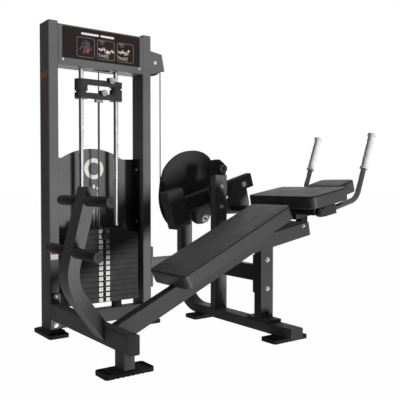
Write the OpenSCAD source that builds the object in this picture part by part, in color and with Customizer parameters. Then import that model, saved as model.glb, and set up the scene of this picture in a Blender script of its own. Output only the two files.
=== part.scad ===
// Ab crunch machine: a weight-stack tower, an inclined bench and a swinging carriage with pads and handles.
// Lengths are millimetres. The bench runs along X, the pivot and the foot rollers run along Y, Z is up.

/* [Tower] */
// overall height of the two uprights with their caps
tower_h = 1545; // [1500:5:1600]
// outside width over both uprights
tower_w = 578; // [560:2:600]
// upright size along X
upright_w = 50; // [44:1:56]
// upright size along Y
upright_d = 118; // [112:1:124]
// height of the beam under the weight stack
beam_h = 72; // [66:1:78]
// wall of the frame tubes
wall = 3; // [2:0.5:4]
// outside corner radius of the frame tubes
tube_r = 6; // [5:0.5:8]
// frame tube size across
tube_w = 50; // [46:1:54]
// frame tube height
tube_h = 80; // [74:1:86]
// depth of the header's underside below the tower's top
header_z = 207; // [200:1:225]
// height of the header above its underside
header_h = 197; // [190:1:200]
// sheet thickness of the header
header_t = 3; // [2:0.5:4]
// length of the slot under the header
slot_l = 94; // [84:1:104]
// placard length
placard_l = 437; // [380:1:450]
// placard height
placard_h = 156; // [130:1:158]
// placard thickness
placard_t = 2; // [1:0.5:3]

/* [Weight stack] */
// distance of each guide rod from the middle
rod_dx = 99; // [92:1:106]
// guide rod diameter
rod_d = 25; // [22:0.5:28]
// distance of the stack's middle plane behind the uprights' front face
stack_y = 45; // [42:1:48]
// weight plate length
plate_l = 396; // [370:1:410]
// weight plate depth
plate_d = 120; // [110:1:130]
// height of one plate with its gap
plate_pitch = 27.2; // [26:0.1:28]
// free height between two plates
plate_gap = 0.3; // [0.2:0.1:0.6]
// edge chamfer of the plates
plate_c = 2; // [1:0.5:3]
// number of plates, with the one that lifts first
plate_n = 13; // [12:1:13]
// head plate length
head_l = 268; // [250:1:290]
// head plate height
head_h = 24; // [20:1:26]
// selector stem diameter
stem_d = 20; // [18:0.5:22]
// lift rod diameter
lift_d = 11; // [9:0.5:13]
// depth of the lift rod's top fitting below the tower's top
fitting_z = 373; // [368:1:385]
// fitting size along X
fitting_w = 40; // [34:1:44]
// fitting height
fitting_h = 18; // [15:1:20]
// bumper diameter
bumper_d = 54; // [46:1:60]
// bumper height
bumper_h = 40; // [34:1:46]
// selector pin diameter
pin_d = 10; // [9:0.5:11]
// selector knob diameter
knob_d = 35; // [30:1:40]

/* [Add-on weights] */
// boss radius round each guide rod
addon_r = 33; // [31:0.5:35]
// neck radius round each guide rod
addon_neck_r = 25; // [22:1:28]
// depth of the lower weight's underside below the tower's top
addon_z = 361; // [345:1:365]
// thickness of each weight's bar
addon_bar = 29; // [26:1:31]
// height of each weight's tall end
addon_tall = 58; // [54:1:59]
// pull knob diameter
pull_d = 33; // [28:1:36]

/* [Cable] */
// cable diameter
cable_d = 6; // [5:0.5:7]
// cable radius on the header pulley
pulley_r1 = 45; // [42:1:48]
// cable radius on the outer pulley
pulley_r2 = 58; // [54:1:62]
// rim height over the cable's middle
rim_h = 7; // [6:0.5:8]
// pulley width
pulley_w = 16; // [14:0.5:18]
// axle diameter of the pulleys
axle_d = 12; // [10:0.5:14]
// depth of the cable run through the header below the tower's top
run_z = 80; // [75:1:85]

/* [Base] */
// length of the base beam in front of its flange
base_l = 768; // [740:1:790]
// underside of the base beam
base_z = 84; // [80:1:90]
// foot length
foot_l = 218; // [206:1:230]
// foot width
foot_w = 102; // [94:1:110]
// foot height under a post
foot_h = 18; // [16:0.5:20]
// raised boss under each upright
boss_h = 10; // [8:0.5:12]
// anchor hole diameter
anchor_d = 12; // [10:0.5:14]
// distance between a foot's anchor holes
anchor_l = 174; // [168:1:178]

/* [Foot rollers] */
// foot post size along Y
post_d = 92; // [84:1:100]
// foot post size in its own plane
post_t = 50; // [46:1:54]
// middle of the foot post along Y
post_y = -534; // [-545:1:-525]
// bend radius of the foot post's middle line
post_bend = 180; // [170:1:190]
// roller diameter
roller_d = 43; // [40:1:48]
// roller length
roller_l = 194; // [170:1:200]
// length of the two rollers on the tower's side
roller_far = 170; // [150:1:180]
// roller axle diameter
roller_axle = 16; // [14:0.5:18]

/* [Bench] */
// middle of the bench along Y
bench_y = -555; // [-560:1:-550]
// slope of the bench's front part
bench_a = 24.3; // [24:0.1:24.6]
// slope of the bench's rear part
bench_b = 10.3; // [10:0.1:10.6]
// height of the bench's rear part
rear_h = 70; // [66:1:74]
// slope of the bench pad
pad1_a = 25; // [24.8:0.1:25.2]
// cushion width of the bench pad
pad1_w = 280; // [262:1:296]
// cushion length of the bench pad
pad1_l = 697; // [680:1:712]
// thickness of the bench pad with its board
pad1_t = 72; // [66:1:73]
// thickness of the boards under the cushions
board_t = 14; // [12:0.5:16]
// how far the boards stand in from the cushions
board_in = 6; // [4:1:10]
// crown of the cushions
crown = 5; // [4:1:8]
// how far the cushions' sides draw in
draw_in = 2.5; // [1.5:0.5:4]

/* [Rear frame] */
// distance of the leg, the floor tube and the posts from the tower's right side
rear_x = 279; // [274:1:284]
// height of the two pivot posts
pivot_post_h = 800; // [780:1:820]
// inner radius of the floor tube's bend
floor_bend = 141; // [130:1:150]
// underside of the braces
brace_z = 260; // [250:1:270]

/* [Carriage] */
// height of the pivot
pivot_z = 681; // [676:1:686]
// tilt of the lever arm
lever_a = 16.9; // [16.5:0.1:17.3]
// shaft diameter
shaft_d = 25; // [22:0.5:28]
// radius at which the cam holds the cable
cam_r = 233; // [230:1:236]
// thickness of each cam cheek
cheek_t = 4; // [3:0.5:5]
// cross tube size along X
cross_s = 56.5; // [52:0.5:60]
// cross tube height
cross_t = 32; // [28:1:36]
// slope of the upper pad
pad2_a = 10.2; // [9.8:0.1:10.6]
// cushion length of the upper pad
pad2_l = 264; // [252:1:272]
// cushion width of the upper pad
pad2_w = 480; // [464:1:480]
// thickness of the upper pad with its board
pad2_t = 66; // [62:1:67]
// slope of the head pad
pad3_a = 15.2; // [14.8:0.1:15.6]
// cushion length of the head pad
pad3_l = 138; // [130:1:144]
// cushion width of the head pad
pad3_w = 240; // [226:1:250]
// thickness of the head pad with its board
pad3_t = 66; // [61:1:68]
// distance of each handle from the middle
handle_dy = 190; // [185:1:195]
// handle tube diameter
handle_d = 28; // [26:0.5:30]
// bend radius of the handles
handle_bend = 80; // [70:1:90]
// lean of the grips from upright
grip_a = 20; // [18:0.5:22]
// grip diameter
grip_d = 36; // [34:0.5:38]
// grip length between its collars
grip_l = 184; // [170:1:195]
// collar diameter
collar_d = 44; // [41:0.5:47]

/* [Clearances] */
// play round a bolt, a rod or a stem in its own hole
hole_gap = 0.2; // [0.1:0.05:0.25]
// play round a turning or sliding piece
run_gap = 0.4; // [0.35:0.05:0.6]
// play of the guide rods in the weights
guide_gap = 1; // [0.6:0.1:1.4]
// free space at the ends of a turning piece
side_gap = 0.5; // [0.4:0.1:0.8]
// space left under a piece that rests on rubber
rest_gap = 0.3; // [0.3:0.05:0.4]

/* [Hidden] */
$fn = 48;
mid_tower = tower_w / 2;
stack_x = mid_tower - 0.5;
rod_x1 = mid_tower - rod_dx;
rod_x2 = mid_tower + rod_dx;
cap_t = 3;
header_low = tower_h - header_z;
header_top = header_low + header_h;
run_h = tower_h - run_z;
upright_z = foot_h + boss_h;
cross_y = stack_y;
cross_z = upright_z;
rod_z = cross_z + beam_h;
stack_z = rod_z + bumper_h;
top_z = stack_z + (plate_n - 1) * plate_pitch;
head_z = stack_z + plate_n * plate_pitch;
pin_z0 = top_z + (plate_pitch - plate_gap) / 2;
plate_x0 = mid_tower - plate_l / 2;
plate_x1 = mid_tower + plate_l / 2;
plate_y0 = stack_y - plate_d / 2;
plate_y1 = stack_y + plate_d / 2;
fitting_low = tower_h - fitting_z;
fitting_top = fitting_low + fitting_h;
addon_low = tower_h - addon_z;
addon_step = 11;
pull_z1 = addon_low + addon_bar + 2;
pull_z2 = pull_z1 + addon_tall + 8;
pull_x1 = stack_x + 6;
pull_x2 = stack_x + 50;
p1_x = stack_x + pulley_r1;
p1_z = run_h - pulley_r1;
rear_l = tower_w + rear_x;
pivot_x = rear_l + tube_h / 2;
drop_x = pivot_x - cam_r;
p2_x = drop_x - pulley_r2;
p2_z = run_h - pulley_r2;
bracket_d = 80;
bracket_t = 5;
bracket_y0 = stack_y - bracket_d / 2;
bracket_l = p2_x + 62 - tower_w;
groove_gap = 0.5;
base_y0 = -10 - base_l;
flange_t = 10;
front_y = base_y0 + 75;
bend_x = 46;
bend_z = 387.8;
post_a = 14.64;
turn_a = 51.15;
post_up = 305;
roll1_x = -72;
roll1_z = 680;
roll2_x = -125;
roll2_z = 475;
disc_t = 3;
leg_x1 = rear_l + tube_h;
floor_out = 10;
floor_y0 = base_y0 - floor_out;
floor_y1 = -23;
floor_z1 = foot_h + tube_w;
far_y0 = floor_y1 + floor_bend;
far_y1 = far_y0 + tube_w;
cam_post_y0 = -212;
cam_post_y1 = cam_post_y0 + tube_w;
bearing_t = 22;
brace_x0 = pivot_x - tube_w / 2;
brace_x1 = pivot_x + tube_w / 2;
foot_plate_t = 15;
plate_t = 12;
bench_y0 = bench_y - tube_w / 2;
bench_y1 = bench_y + tube_w / 2;
kink_dx = 90;
kink_x = pivot_x - kink_dx;
kink_z = 409;
end_dx = 306;
end_x = pivot_x + end_dx;
ka = [cos(bench_a), sin(bench_a)];
kb = [cos(bench_b), sin(bench_b)];
na = [-sin(bench_a), cos(bench_a)];
nb = [-sin(bench_b), cos(bench_b)];
kink = [kink_x, kink_z];
end_low = kink + kb * (end_x - kink_x) / kb[0];
pad1_dx = 493.7;
pad1_dz = 54.6;
pad1_top = kink - [pad1_dx, pad1_dz];
pad1_low = pad1_top + [sin(pad1_a), -cos(pad1_a)] * pad1_t;
pivot = [pivot_x, pivot_z];
pad_dy = 8;
pad2_dx = 102.4;
pad2_dz = 8.8;
pad2_top = pivot + [pad2_dx, pad2_dz];
pad2_low = pad2_top + [sin(pad2_a), -cos(pad2_a)] * pad2_t;
pad3_dx = 424;
pad3_dz = 58.7;
pad3_top = pivot + [pad3_dx, pad3_dz];
pad3_low = pad3_top + [sin(pad3_a), -cos(pad3_a)] * pad3_t;
lever_y0 = -105;
lever_y1 = -55;
lever_u0 = -174;
lever_u1 = 327;
weight_l = 100;
weight_h = 206;
weight_d = 80;
cam_y0 = stack_y - 5 - cheek_t;
cam_y1 = stack_y + 5 + cheek_t;
cam_core = cam_r - cable_d / 2 - groove_gap;
wrap_a = 38;
cross_dx = 171.25;
cross_dz = 70;
cross_x = pivot_x + cross_dx;
cross_zc = pivot_z - cross_dz;
cross_out = 205;
cross_y0 = bench_y - cross_out;
ring_d = 42;
ring_t = 18;
stub_d = 26;
stub_x = cross_x + 1.75;
stub_z = cross_zc - 3;
link_y0 = lever_y0 - 10;
spine_x0 = cross_x + cross_s / 2;
spine_dx = 263;
spine_dz = 105;
spine_low = pivot + [spine_dx, -spine_dz];
spine_l = 345;
spine_x1 = pivot_x + spine_l;
stop_dx = 244;
stop_l = 45;
buffer_x0 = kink_x + 53;
buffer_h = 12;
stop_x0 = pivot_x + stop_dx;
stop_x1 = stop_x0 + stop_l;
socket_w = 50;
socket_h = 47;
socket_l = 88;
socket_dx = 244;
socket_dz = 62;
socket_x = pivot_x + socket_dx;
socket_z = pivot_z - socket_dz;
handle_dx = 288;
handle_dz = 56;
handle_p = pivot + [handle_dx, -handle_dz];
corner_dx = 473.088;
corner_dz = 9;
handle_c = pivot + [corner_dx, -corner_dz];
grip_up = 166.513;
handle_s = atan2(handle_c[1] - handle_p[1], handle_c[0] - handle_p[0]);
grip_dir = [sin(grip_a), cos(grip_a)];
grip_p = handle_c + grip_dir * grip_up;
grip_top = grip_p + grip_dir * (grip_l + 12);
handle_turn = 90 - grip_a - handle_s;
handle_tan = handle_bend * tan(handle_turn / 2);
handle_dir = [cos(handle_s), sin(handle_s)];
reach_l = bend_x - post_bend - post_t / 2;
reach_r = grip_top[0] + collar_d / 2 * cos(grip_a);
mid_x = (reach_l + reach_r) / 2;
mid_y = (floor_y0 + far_y1) / 2;
near_y = post_y - post_d / 2 - roller_l - side_gap;
far_y = post_y + post_d / 2 + side_gap;
shroud_y = upright_d + 9;
shroud_t = 3;
shroud_h = 856;
shroud_rise = 150;
shroud_arch = 52;
shroud_r = 320.5;
shroud_lip = 30;
shroud_bend = 58;
arch_dx = 3.5;
foot_r = 14;
foot_lip = 6;
link_pin_u = 245;
link_pin_v = -5;
link_pin_d = 20;
steel = [0.33, 0.33, 0.34];
black = [0.09, 0.09, 0.09];
chrome = [0.8, 0.8, 0.82];
vinyl = [0.13, 0.13, 0.13];

// everything is drawn from the left upright's front corner and moved to the middle of the footprint
module placed() translate([-mid_x, -mid_y, 0]) children();

module rounded(w, h, r) {
  square([w - 2 * r, h], center = true);
  square([w, h - 2 * r], center = true);
  for (sx = [-1, 1], sy = [-1, 1])
    translate([sx * (w / 2 - r), sy * (h / 2 - r)]) circle(r = r, $fn = 24);
}

module ring2(w, h) {
  difference() {
    rounded(w, h, tube_r);
    rounded(w - 2 * wall, h - 2 * wall, max(tube_r - wall, 1));
  }
}

module along_z(x, y, z0, z1) translate([x, y, z0]) linear_extrude(z1 - z0) children();
module along_y(x, z, y0, y1) translate([x, y1, z]) rotate([90, 0, 0])
  linear_extrude(y1 - y0) children();
module along_x(y, z, x0, x1) translate([x0, y, z]) rotate([90, 0, 90])
  linear_extrude(x1 - x0) children();
module slab(pts, y0, y1) translate([0, y1, 0]) rotate([90, 0, 0])
  linear_extrude(y1 - y0) polygon(pts);
module pin_y(x, z, y0, y1, d) translate([x, y1, z]) rotate([90, 0, 0]) cylinder(d = d, h = y1 - y0);
module pin_x(y, z, x0, x1, d) translate([x0, y, z]) rotate([0, 90, 0]) cylinder(d = d, h = x1 - x0);
module pin_z(x, y, z0, z1, d) translate([x, y, z0]) cylinder(d = d, h = z1 - z0);
module block(x0, x1, y0, y1, z0, z1) translate([x0, y0, z0]) cube([x1 - x0, y1 - y0, z1 - z0]);

// one side of a bolt: a washer and a hexagon head that faces the front
module bolt_y(x, z, y, d = 18) {
  pin_y(x, z, y - 2.5, y, d * 1.35);
  translate([x, y - 2, z]) rotate([90, 0, 0]) cylinder(d = d, h = 8, $fn = 6);
}

module bolt_x(y, z, x, d = 18) {
  pin_x(y, z, x, x + 2.5, d * 1.35);
  translate([x + 2, y, z]) rotate([0, 90, 0]) cylinder(d = d, h = 8, $fn = 6);
}

// outline of a cushion seen from above, with points along its straight sides
function outline(l, w, r, n, m) = concat(
  [for (j = [0:n]) [l / 2 - r + r * cos(90 * j / n), w / 2 - r + r * sin(90 * j / n)]],
  [for (j = [1:m]) [(l / 2 - r) * (1 - 2 * j / (m + 1)), w / 2]],
  [for (j = [0:n]) [-l / 2 + r - r * sin(90 * j / n), w / 2 - r + r * cos(90 * j / n)]],
  [for (j = [1:m]) [-l / 2, (w / 2 - r) * (1 - 2 * j / (m + 1))]],
  [for (j = [0:n]) [-l / 2 + r - r * cos(90 * j / n), -w / 2 + r - r * sin(90 * j / n)]],
  [for (j = [1:m]) [-(l / 2 - r) * (1 - 2 * j / (m + 1)), -w / 2]],
  [for (j = [0:n]) [l / 2 - r + r * sin(90 * j / n), -w / 2 + r - r * cos(90 * j / n)]],
  [for (j = [1:m]) [l / 2, -(w / 2 - r) * (1 - 2 * j / (m + 1))]]);

function drawn(p, l, w, d) = [
  p[0] * (1 - 2 * d / l * (1 - pow(2 * p[1] / w, 2))),
  p[1] * (1 - 2 * d / w * (1 - pow(2 * p[0] / l, 2)))];

function level(l, w, r, e, z, s) = [for (p = outline(l - 2 * e, w - 2 * e, max(r - e, 6), 5, 7))
  let (q = drawn(p, l, w, draw_in)) [q[0] * s, q[1] * s, z]];

// a stuffed cushion: sides that bulge, a soft top edge and a crowned top
module cushion(l, w, t, r) {
  n = 52;
  h = t - crown;
  rings = [
    level(l, w, r, 3, 0, 1),
    level(l, w, r, 1, h * 0.2, 1),
    level(l, w, r, 0, h * 0.5, 1),
    level(l, w, r, 0.4, h * 0.8, 1),
    level(l, w, r, 1.6, h * 0.94, 1),
    level(l, w, r, 5, h, 1),
    level(l, w, r, 5, h + crown * 0.28, 0.85),
    level(l, w, r, 5, h + crown * 0.64, 0.6),
    level(l, w, r, 5, h + crown * 0.91, 0.3)];
  pts = concat([for (g = rings) each g], [[0, 0, h + crown]]);
  last = len(rings) - 1;
  faces = concat(
    [[for (i = [0:n - 1]) i]],
    [for (k = [0:last - 1], i = [0:n - 1])
      [k * n + i, (k + 1) * n + i, (k + 1) * n + (i + 1) % n]],
    [for (k = [0:last - 1], i = [0:n - 1])
      [k * n + i, (k + 1) * n + (i + 1) % n, k * n + (i + 1) % n]],
    [for (i = [0:n - 1]) [last * n + i, len(pts) - 1, last * n + (i + 1) % n]]);
  polyhedron(pts, faces);
}

module leaning(p, a, y) translate([p[0], y, p[1]]) rotate([0, -a, 0]) children();

// tower

module left_upright() placed() color(steel)
  along_z(upright_w / 2, upright_d / 2, upright_z, tower_h - cap_t) ring2(upright_w, upright_d);

module right_upright() placed() color(steel)
  difference() {
    along_z(tower_w - upright_w / 2, upright_d / 2, upright_z, tower_h - cap_t) ring2(upright_w, upright_d);
    pin_x(stack_y, run_h, tower_w - upright_w - 1, tower_w - upright_w + wall + 1, cable_d + 8);
    block(tower_w - wall - 1, tower_w + 1, stack_y - pulley_w / 2 - 6, stack_y + pulley_w / 2 + 6,
      p2_z - pulley_r2 - 6, p2_z + pulley_r2 + 14);
  }

module header() placed() color(steel)
  difference() {
    along_x(upright_d / 2, header_low + header_h / 2, upright_w, tower_w - upright_w)
      difference() {
        rounded(upright_d, header_h, tube_r);
        rounded(upright_d - 2 * header_t, header_h - 2 * header_t, tube_r - header_t + 0.5);
      }
    block(stack_x - 32, stack_x - 32 + slot_l, stack_y - 20, stack_y + 20,
      header_low - 1, header_low + header_t + 1);
    for (x = [rod_x1, rod_x2])
      pin_z(x, stack_y, header_low - 1, header_low + header_t + 1, rod_d + 2 * hole_gap);
    pin_y(p1_x, p1_z, -1, header_t + 1, axle_d + 2 * hole_gap);
    pin_y(p1_x, p1_z, upright_d - header_t - 1, upright_d + 1, axle_d + 2 * hole_gap);
  }

module placard() placed() color([0.17, 0.13, 0.12])
  along_y(mid_tower, header_top - 8 - placard_h / 2, -placard_t, 0) rounded(placard_l, placard_h, 8);

module cross_beam() placed() color(steel)
  along_x(cross_y, cross_z + beam_h / 2, upright_w, tower_w - upright_w) ring2(tube_w, beam_h);

module guide_rods() placed() color(chrome)
  for (x = [rod_x1, rod_x2]) pin_z(x, stack_y, rod_z, header_low + header_t + 10, rod_d);

module stack_bumpers() placed() color(black)
  for (x = [rod_x1, rod_x2])
    difference() {
      pin_z(x, stack_y, rod_z, stack_z, bumper_d);
      pin_z(x, stack_y, rod_z - 1, stack_z + 1, rod_d + 2 * hole_gap);
    }

module plate_blank(x0, x1, z0, z1) {
  c = plate_c;
  translate([x0, 0, 0]) rotate([90, 0, 90]) linear_extrude(x1 - x0)
    polygon([[plate_y0 + c, z0], [plate_y1 - c, z0], [plate_y1, z0 + c], [plate_y1, z1 - c],
      [plate_y1 - c, z1], [plate_y0 + c, z1], [plate_y0, z1 - c], [plate_y0, z0 + c]]);
}

module one_plate(z) {
  difference() {
    plate_blank(plate_x0, plate_x1, z, z + plate_pitch - plate_gap);
    for (x = [rod_x1, rod_x2])
      pin_z(x, stack_y, z - 1, z + plate_pitch + 1, rod_d + 2 * guide_gap);
    pin_z(stack_x, stack_y, z - 1, z + plate_pitch + 1, stem_d + 2 * guide_gap);
    pin_y(stack_x, z + (plate_pitch - plate_gap) / 2, plate_y0 - 1, stack_y + stem_d, pin_d + 2 * guide_gap);
  }
}

module weight_plates() placed() color(black)
  for (i = [0:plate_n - 2]) one_plate(stack_z + i * plate_pitch);

module top_plate() placed() color(black) one_plate(top_z);

module head_plate() placed() color(black)
  difference() {
    union() {
      plate_blank(mid_tower - head_l / 2, mid_tower + head_l / 2, head_z, head_z + head_h);
      for (x = [rod_x1, rod_x2]) pin_z(x, stack_y, head_z + head_h - 1, head_z + head_h + 12, rod_d + 14);
    }
    for (x = [rod_x1, rod_x2])
      pin_z(x, stack_y, head_z - 1, head_z + head_h + 13, rod_d + 2 * run_gap);
    pin_z(stack_x, stack_y, head_z - 1, head_z + head_h + 1, stem_d + 2 * hole_gap);
  }

module selector_stem() placed() color(chrome)
  difference() {
    union() {
      pin_z(stack_x, stack_y, stack_z + 6, head_z + head_h + 6, stem_d);
      translate([stack_x, stack_y, head_z + head_h]) cylinder(d = stem_d + 10, h = 10, $fn = 6);
      pin_z(stack_x, stack_y, head_z + head_h + 5, fitting_low + 6, lift_d);
    }
    for (i = [0:plate_n - 1])
      pin_y(stack_x, stack_z + i * plate_pitch + (plate_pitch - plate_gap) / 2, stack_y - stem_d,
        stack_y + stem_d, pin_d + 2 * run_gap);
  }

module cable_fitting() placed() color([0.6, 0.6, 0.6])
  difference() {
    block(stack_x - fitting_w / 2, stack_x + fitting_w / 2, stack_y - 12, stack_y + 12,
      fitting_low, fitting_top);
    pin_z(stack_x, stack_y, fitting_low - 1, fitting_low + 8, lift_d + 2 * hole_gap);
  }

module selector_pin() placed() color(black) {
  pin_y(stack_x, pin_z0, plate_y0 - 1, stack_y + stem_d / 2 + 4, pin_d);
  pin_y(stack_x, pin_z0, plate_y0 - 26, plate_y0 - 0.8, knob_d);
}

// the sheet behind the stack: a flat back with an arched top, bent round into two side flanges
module shroud() placed() color(steel) {
  top = cross_z + shroud_h;
  w = tower_w - 2 * upright_w;
  d = 2 * (shroud_y + shroud_t - shroud_lip);
  difference() {
    along_z(mid_tower, shroud_lip, cross_z + shroud_rise, top + shroud_arch)
      difference() {
        rounded(w, d, shroud_bend);
        rounded(w - 2 * shroud_t, d - 2 * shroud_t, shroud_bend - shroud_t);
        translate([-w, -d]) square([2 * w, d]);
      }
    along_y(0, 0, shroud_lip - 1, shroud_y + shroud_t + 1)
      difference() {
        translate([upright_w - 1, top]) square([w + 2, shroud_arch + 1]);
        translate([mid_tower + arch_dx, top + shroud_arch - shroud_r]) circle(r = shroud_r, $fn = 96);
      }
  }
}

module panel_screws() {
  for (x = [mid_tower - placard_l / 2 + 3, mid_tower + placard_l / 2 - 3])
    pin_y(x, header_low + 24, -4, 0, 11);
  for (z = [cross_z + 232, cross_z + 515, cross_z + 798]) {
    pin_x(shroud_lip + 34, z, tower_w - upright_w - shroud_t - 4, tower_w - upright_w - shroud_t, 12);
    pin_x(shroud_lip + 34, z, upright_w + shroud_t, upright_w + shroud_t + 4, 12);
  }
}

// the two cheeks that carry the outer pulley
module pulley_bracket() placed() color(steel) {
  x = tower_w;
  y0 = bracket_y0;
  pts = [[x, p2_z - 64], [x + bracket_l, p2_z - 40], [x + bracket_l - 18, p2_z + 50], [x, p2_z + 61]];
  for (y = [y0, y0 + bracket_d - bracket_t])
    difference() {
      slab(pts, y, y + bracket_t);
      pin_y(p2_x, p2_z, y - 1, y + bracket_t + 1, axle_d + 2 * hole_gap);
    }
  difference() {
    block(x, x + 4, y0, y0 + bracket_d, p2_z - 64, p2_z + 61);
    block(x - 1, x + 5, stack_y - pulley_w / 2 - 6, stack_y + pulley_w / 2 + 6,
      p2_z - pulley_r2 - 6, p2_z + 62);
  }
}

module pulley_axles() placed() color(chrome) {
  pin_y(p1_x, p1_z, 0, upright_d, axle_d);
  pin_y(p2_x, p2_z, bracket_y0, bracket_y0 + bracket_d, axle_d);
  pin_y(p2_x, p2_z, bracket_y0 - 4, bracket_y0, axle_d + 8);
  pin_y(p2_x, p2_z, bracket_y0 + bracket_d, bracket_y0 + bracket_d + 4, axle_d + 8);
  for (s = [-1, 1]) {
    y1 = stack_y + s * (pulley_w / 2 + side_gap + 3);
    difference() {
      pin_y(p1_x, p1_z, y1 - 3, y1 + 3, axle_d + 10);
      pin_y(p1_x, p1_z, y1 - 4, y1 + 4, axle_d - 0.5);
    }
  }
}

module pulley(x, z, r) {
  rim = r + rim_h;
  deep = r - cable_d / 2 - groove_gap;
  half = pulley_w / 2;
  mouth = cable_d / 2 + groove_gap + 2;
  translate([x, stack_y, z]) rotate([90, 0, 0]) rotate_extrude($fn = 72)
    polygon([[axle_d / 2 + run_gap, -half], [rim, -half], [rim, -mouth], [deep, -cable_d / 2 - groove_gap],
      [deep, cable_d / 2 + groove_gap], [rim, mouth], [rim, half], [axle_d / 2 + run_gap, half]]);
}

module header_pulley() placed() color(black) pulley(p1_x, p1_z, pulley_r1);

module outer_pulley() placed() color(black)
  difference() {
    pulley(p2_x, p2_z, pulley_r2);
    for (a = [0:60:300])
      pin_y(p2_x + 30 * cos(a), p2_z + 30 * sin(a), stack_y - pulley_w, stack_y + pulley_w, 14);
  }

// a quarter or other arc of cable round a pulley, from angle a over t degrees
module cable_arc(x, z, r, a, t) translate([x, stack_y, z]) rotate([90, 0, 0]) rotate([0, 0, a])
  rotate_extrude(angle = t, $fn = 96) translate([r, 0]) circle(d = cable_d, $fn = 20);

module main_cable() placed() color([0.12, 0.12, 0.12]) {
  cable_arc(p1_x, p1_z, pulley_r1, 90, 90);
  pin_x(stack_y, run_h, p1_x, p2_x, cable_d);
  cable_arc(p2_x, p2_z, pulley_r2, 0, 90);
  pin_z(drop_x, stack_y, pivot_z, p2_z, cable_d);
}

module stack_cable() placed() color([0.12, 0.12, 0.12])
  pin_z(stack_x, stack_y, fitting_top, p1_z, cable_d);

module cam_cable() placed() color([0.12, 0.12, 0.12]) cable_arc(pivot_x, pivot_z, cam_r, 180, wrap_a);

// the two weights that hang on the guide rods above the stack
module addon(z, tall_left, low) {
  b = addon_bar;
  y0 = stack_y - addon_r;
  zb = tall_left ? z + addon_tall - b : z;
  neck = addon_step - run_gap;
  difference() {
    union() {
      for (s = [-1, 1]) {
        big = (s < 0) == tall_left;
        pin_z(mid_tower + s * rod_dx, stack_y, big ? z : zb, big ? z + addon_tall : zb + b, 2 * addon_r);
      }
      block(rod_x1, rod_x2, y0, y0 + 18, zb, zb + b);
      pin_z(tall_left ? rod_x2 : rod_x1, stack_y, low ? zb + b - 1 : zb - neck, low ? zb + b + neck : zb + 1,
        2 * addon_neck_r);
      x = low ? pull_x1 : pull_x2;
      block(x - 14, x + 14, y0, y0 + 14, zb + b - 1, zb + b + 16);
    }
    for (x = [rod_x1, rod_x2]) pin_z(x, stack_y, z - 20, z + 90, rod_d + 2 * run_gap);
    pin_y(low ? pull_x1 : pull_x2, low ? pull_z1 : pull_z2, y0 - 1, y0 + 23, pin_d + 2 * run_gap);
  }
}

module addon_lower() placed() color(black) addon(addon_low, false, true);
module addon_upper() placed() color(black) addon(addon_low + addon_bar + addon_step, true, false);

module pull_knob(x, z) {
  y0 = stack_y - addon_r;
  pin_y(x, z, y0 - 14, y0 + 17, pin_d);
  pin_y(x, z, y0 - 29, y0 - 13, pull_d);
}

module pull_lower() placed() color([0.55, 0.55, 0.55]) pull_knob(pull_x1, pull_z1);
module pull_upper() placed() color([0.55, 0.55, 0.55]) pull_knob(pull_x2, pull_z2);

// base

module base_beam() placed() color(steel) {
  x = upright_w / 2;
  along_y(x, base_z + tube_h / 2, base_y0 + cap_t, -flange_t) ring2(tube_w, tube_h);
  block(0, upright_w, -flange_t, 0, base_z - 43, base_z + tube_h + 47);
  along_z(x, front_y, foot_h, base_z + 1) ring2(tube_w, tube_h);
}

module one_foot(x, y, turn, boss) translate([x, y, 0]) rotate([0, 0, turn])
  difference() {
    union() {
      linear_extrude(foot_h - foot_lip) rounded(foot_w, foot_l, foot_r);
      linear_extrude(foot_h)
        difference() {
          rounded(foot_w, foot_l, foot_r);
          rounded(foot_w - 10, foot_l - 10, foot_r - 4);
        }
      linear_extrude(foot_h + boss) rounded(foot_w - 14, foot_l - 66, 8);
    }
    for (s = [-1, 1]) translate([0, s * anchor_l / 2, -1]) cylinder(d = anchor_d, h = foot_h + 2);
    for (k = [-3:3]) translate([-foot_w / 2 - 1, k * 22 - 3, -1]) cube([foot_w + 2, 6, 3]);
  }

module rubber_feet() placed() color(black) {
  one_foot(upright_w / 2, upright_d / 2 - 9, 0, boss_h);
  one_foot(tower_w - upright_w / 2, upright_d / 2 - 9, 0, boss_h);
  one_foot(upright_w / 2, front_y, 90, 0);
  one_foot(pivot_x, floor_y0 + 84.5, 90, 0);
  one_foot(pivot_x, floor_y1 - 43, 90, 0);
}

module frame_bolts() placed() color(chrome) {
  for (z = [base_z - 28, base_z + 112]) bolt_y(upright_w / 2, z, -flange_t, 16);
  for (z = [brace_z - 32, brace_z + 112]) bolt_y(pivot_x, z, bench_y0);
  for (z = [pivot_z - 55, pivot_z + 55]) bolt_y(pivot_x, z, cam_post_y0, 16);
  for (z = [brace_z - 48, brace_z + 128]) bolt_x(upright_d / 2, z, tower_w + plate_t);
  bolt_y(stop_x0 + 7, kink_z + 121, bench_y0, 14);
  panel_screws();
}

// side outline of the foot post, at a distance e outside its middle line
function post_side(e, cut) = let (r = post_bend + e, o = [bend_x, bend_z])
  concat([o + [-cos(post_a), sin(post_a)] * r + [sin(post_a), cos(post_a)] * post_up],
    [for (i = [0:20]) let (a = post_a - turn_a * i / 20) o + [-cos(a), sin(a)] * r],
    [let (a = post_a - turn_a, q = o + [-cos(a), sin(a)] * r)
      q + [-sin(a), -cos(a)] * ((q[0] - cut) / sin(a))]);

function back(l) = [for (i = [len(l) - 1:-1:0]) l[i]];

module foot_post() placed() color(steel) {
  y0 = post_y - post_d / 2;
  t = post_t / 2;
  difference() {
    slab(concat(post_side(t, 0), back(post_side(-t, 0))), y0, y0 + post_d);
    slab(concat(post_side(t - wall, -wall), back(post_side(wall - t, -wall))), y0 + wall, y0 + post_d - wall);
    for (p = [[roll1_x, roll1_z], [roll2_x, roll2_z]])
      pin_y(p[0], p[1], y0 - 1, y0 + post_d + 1, roller_axle + 2 * hole_gap);
  }
}

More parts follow.
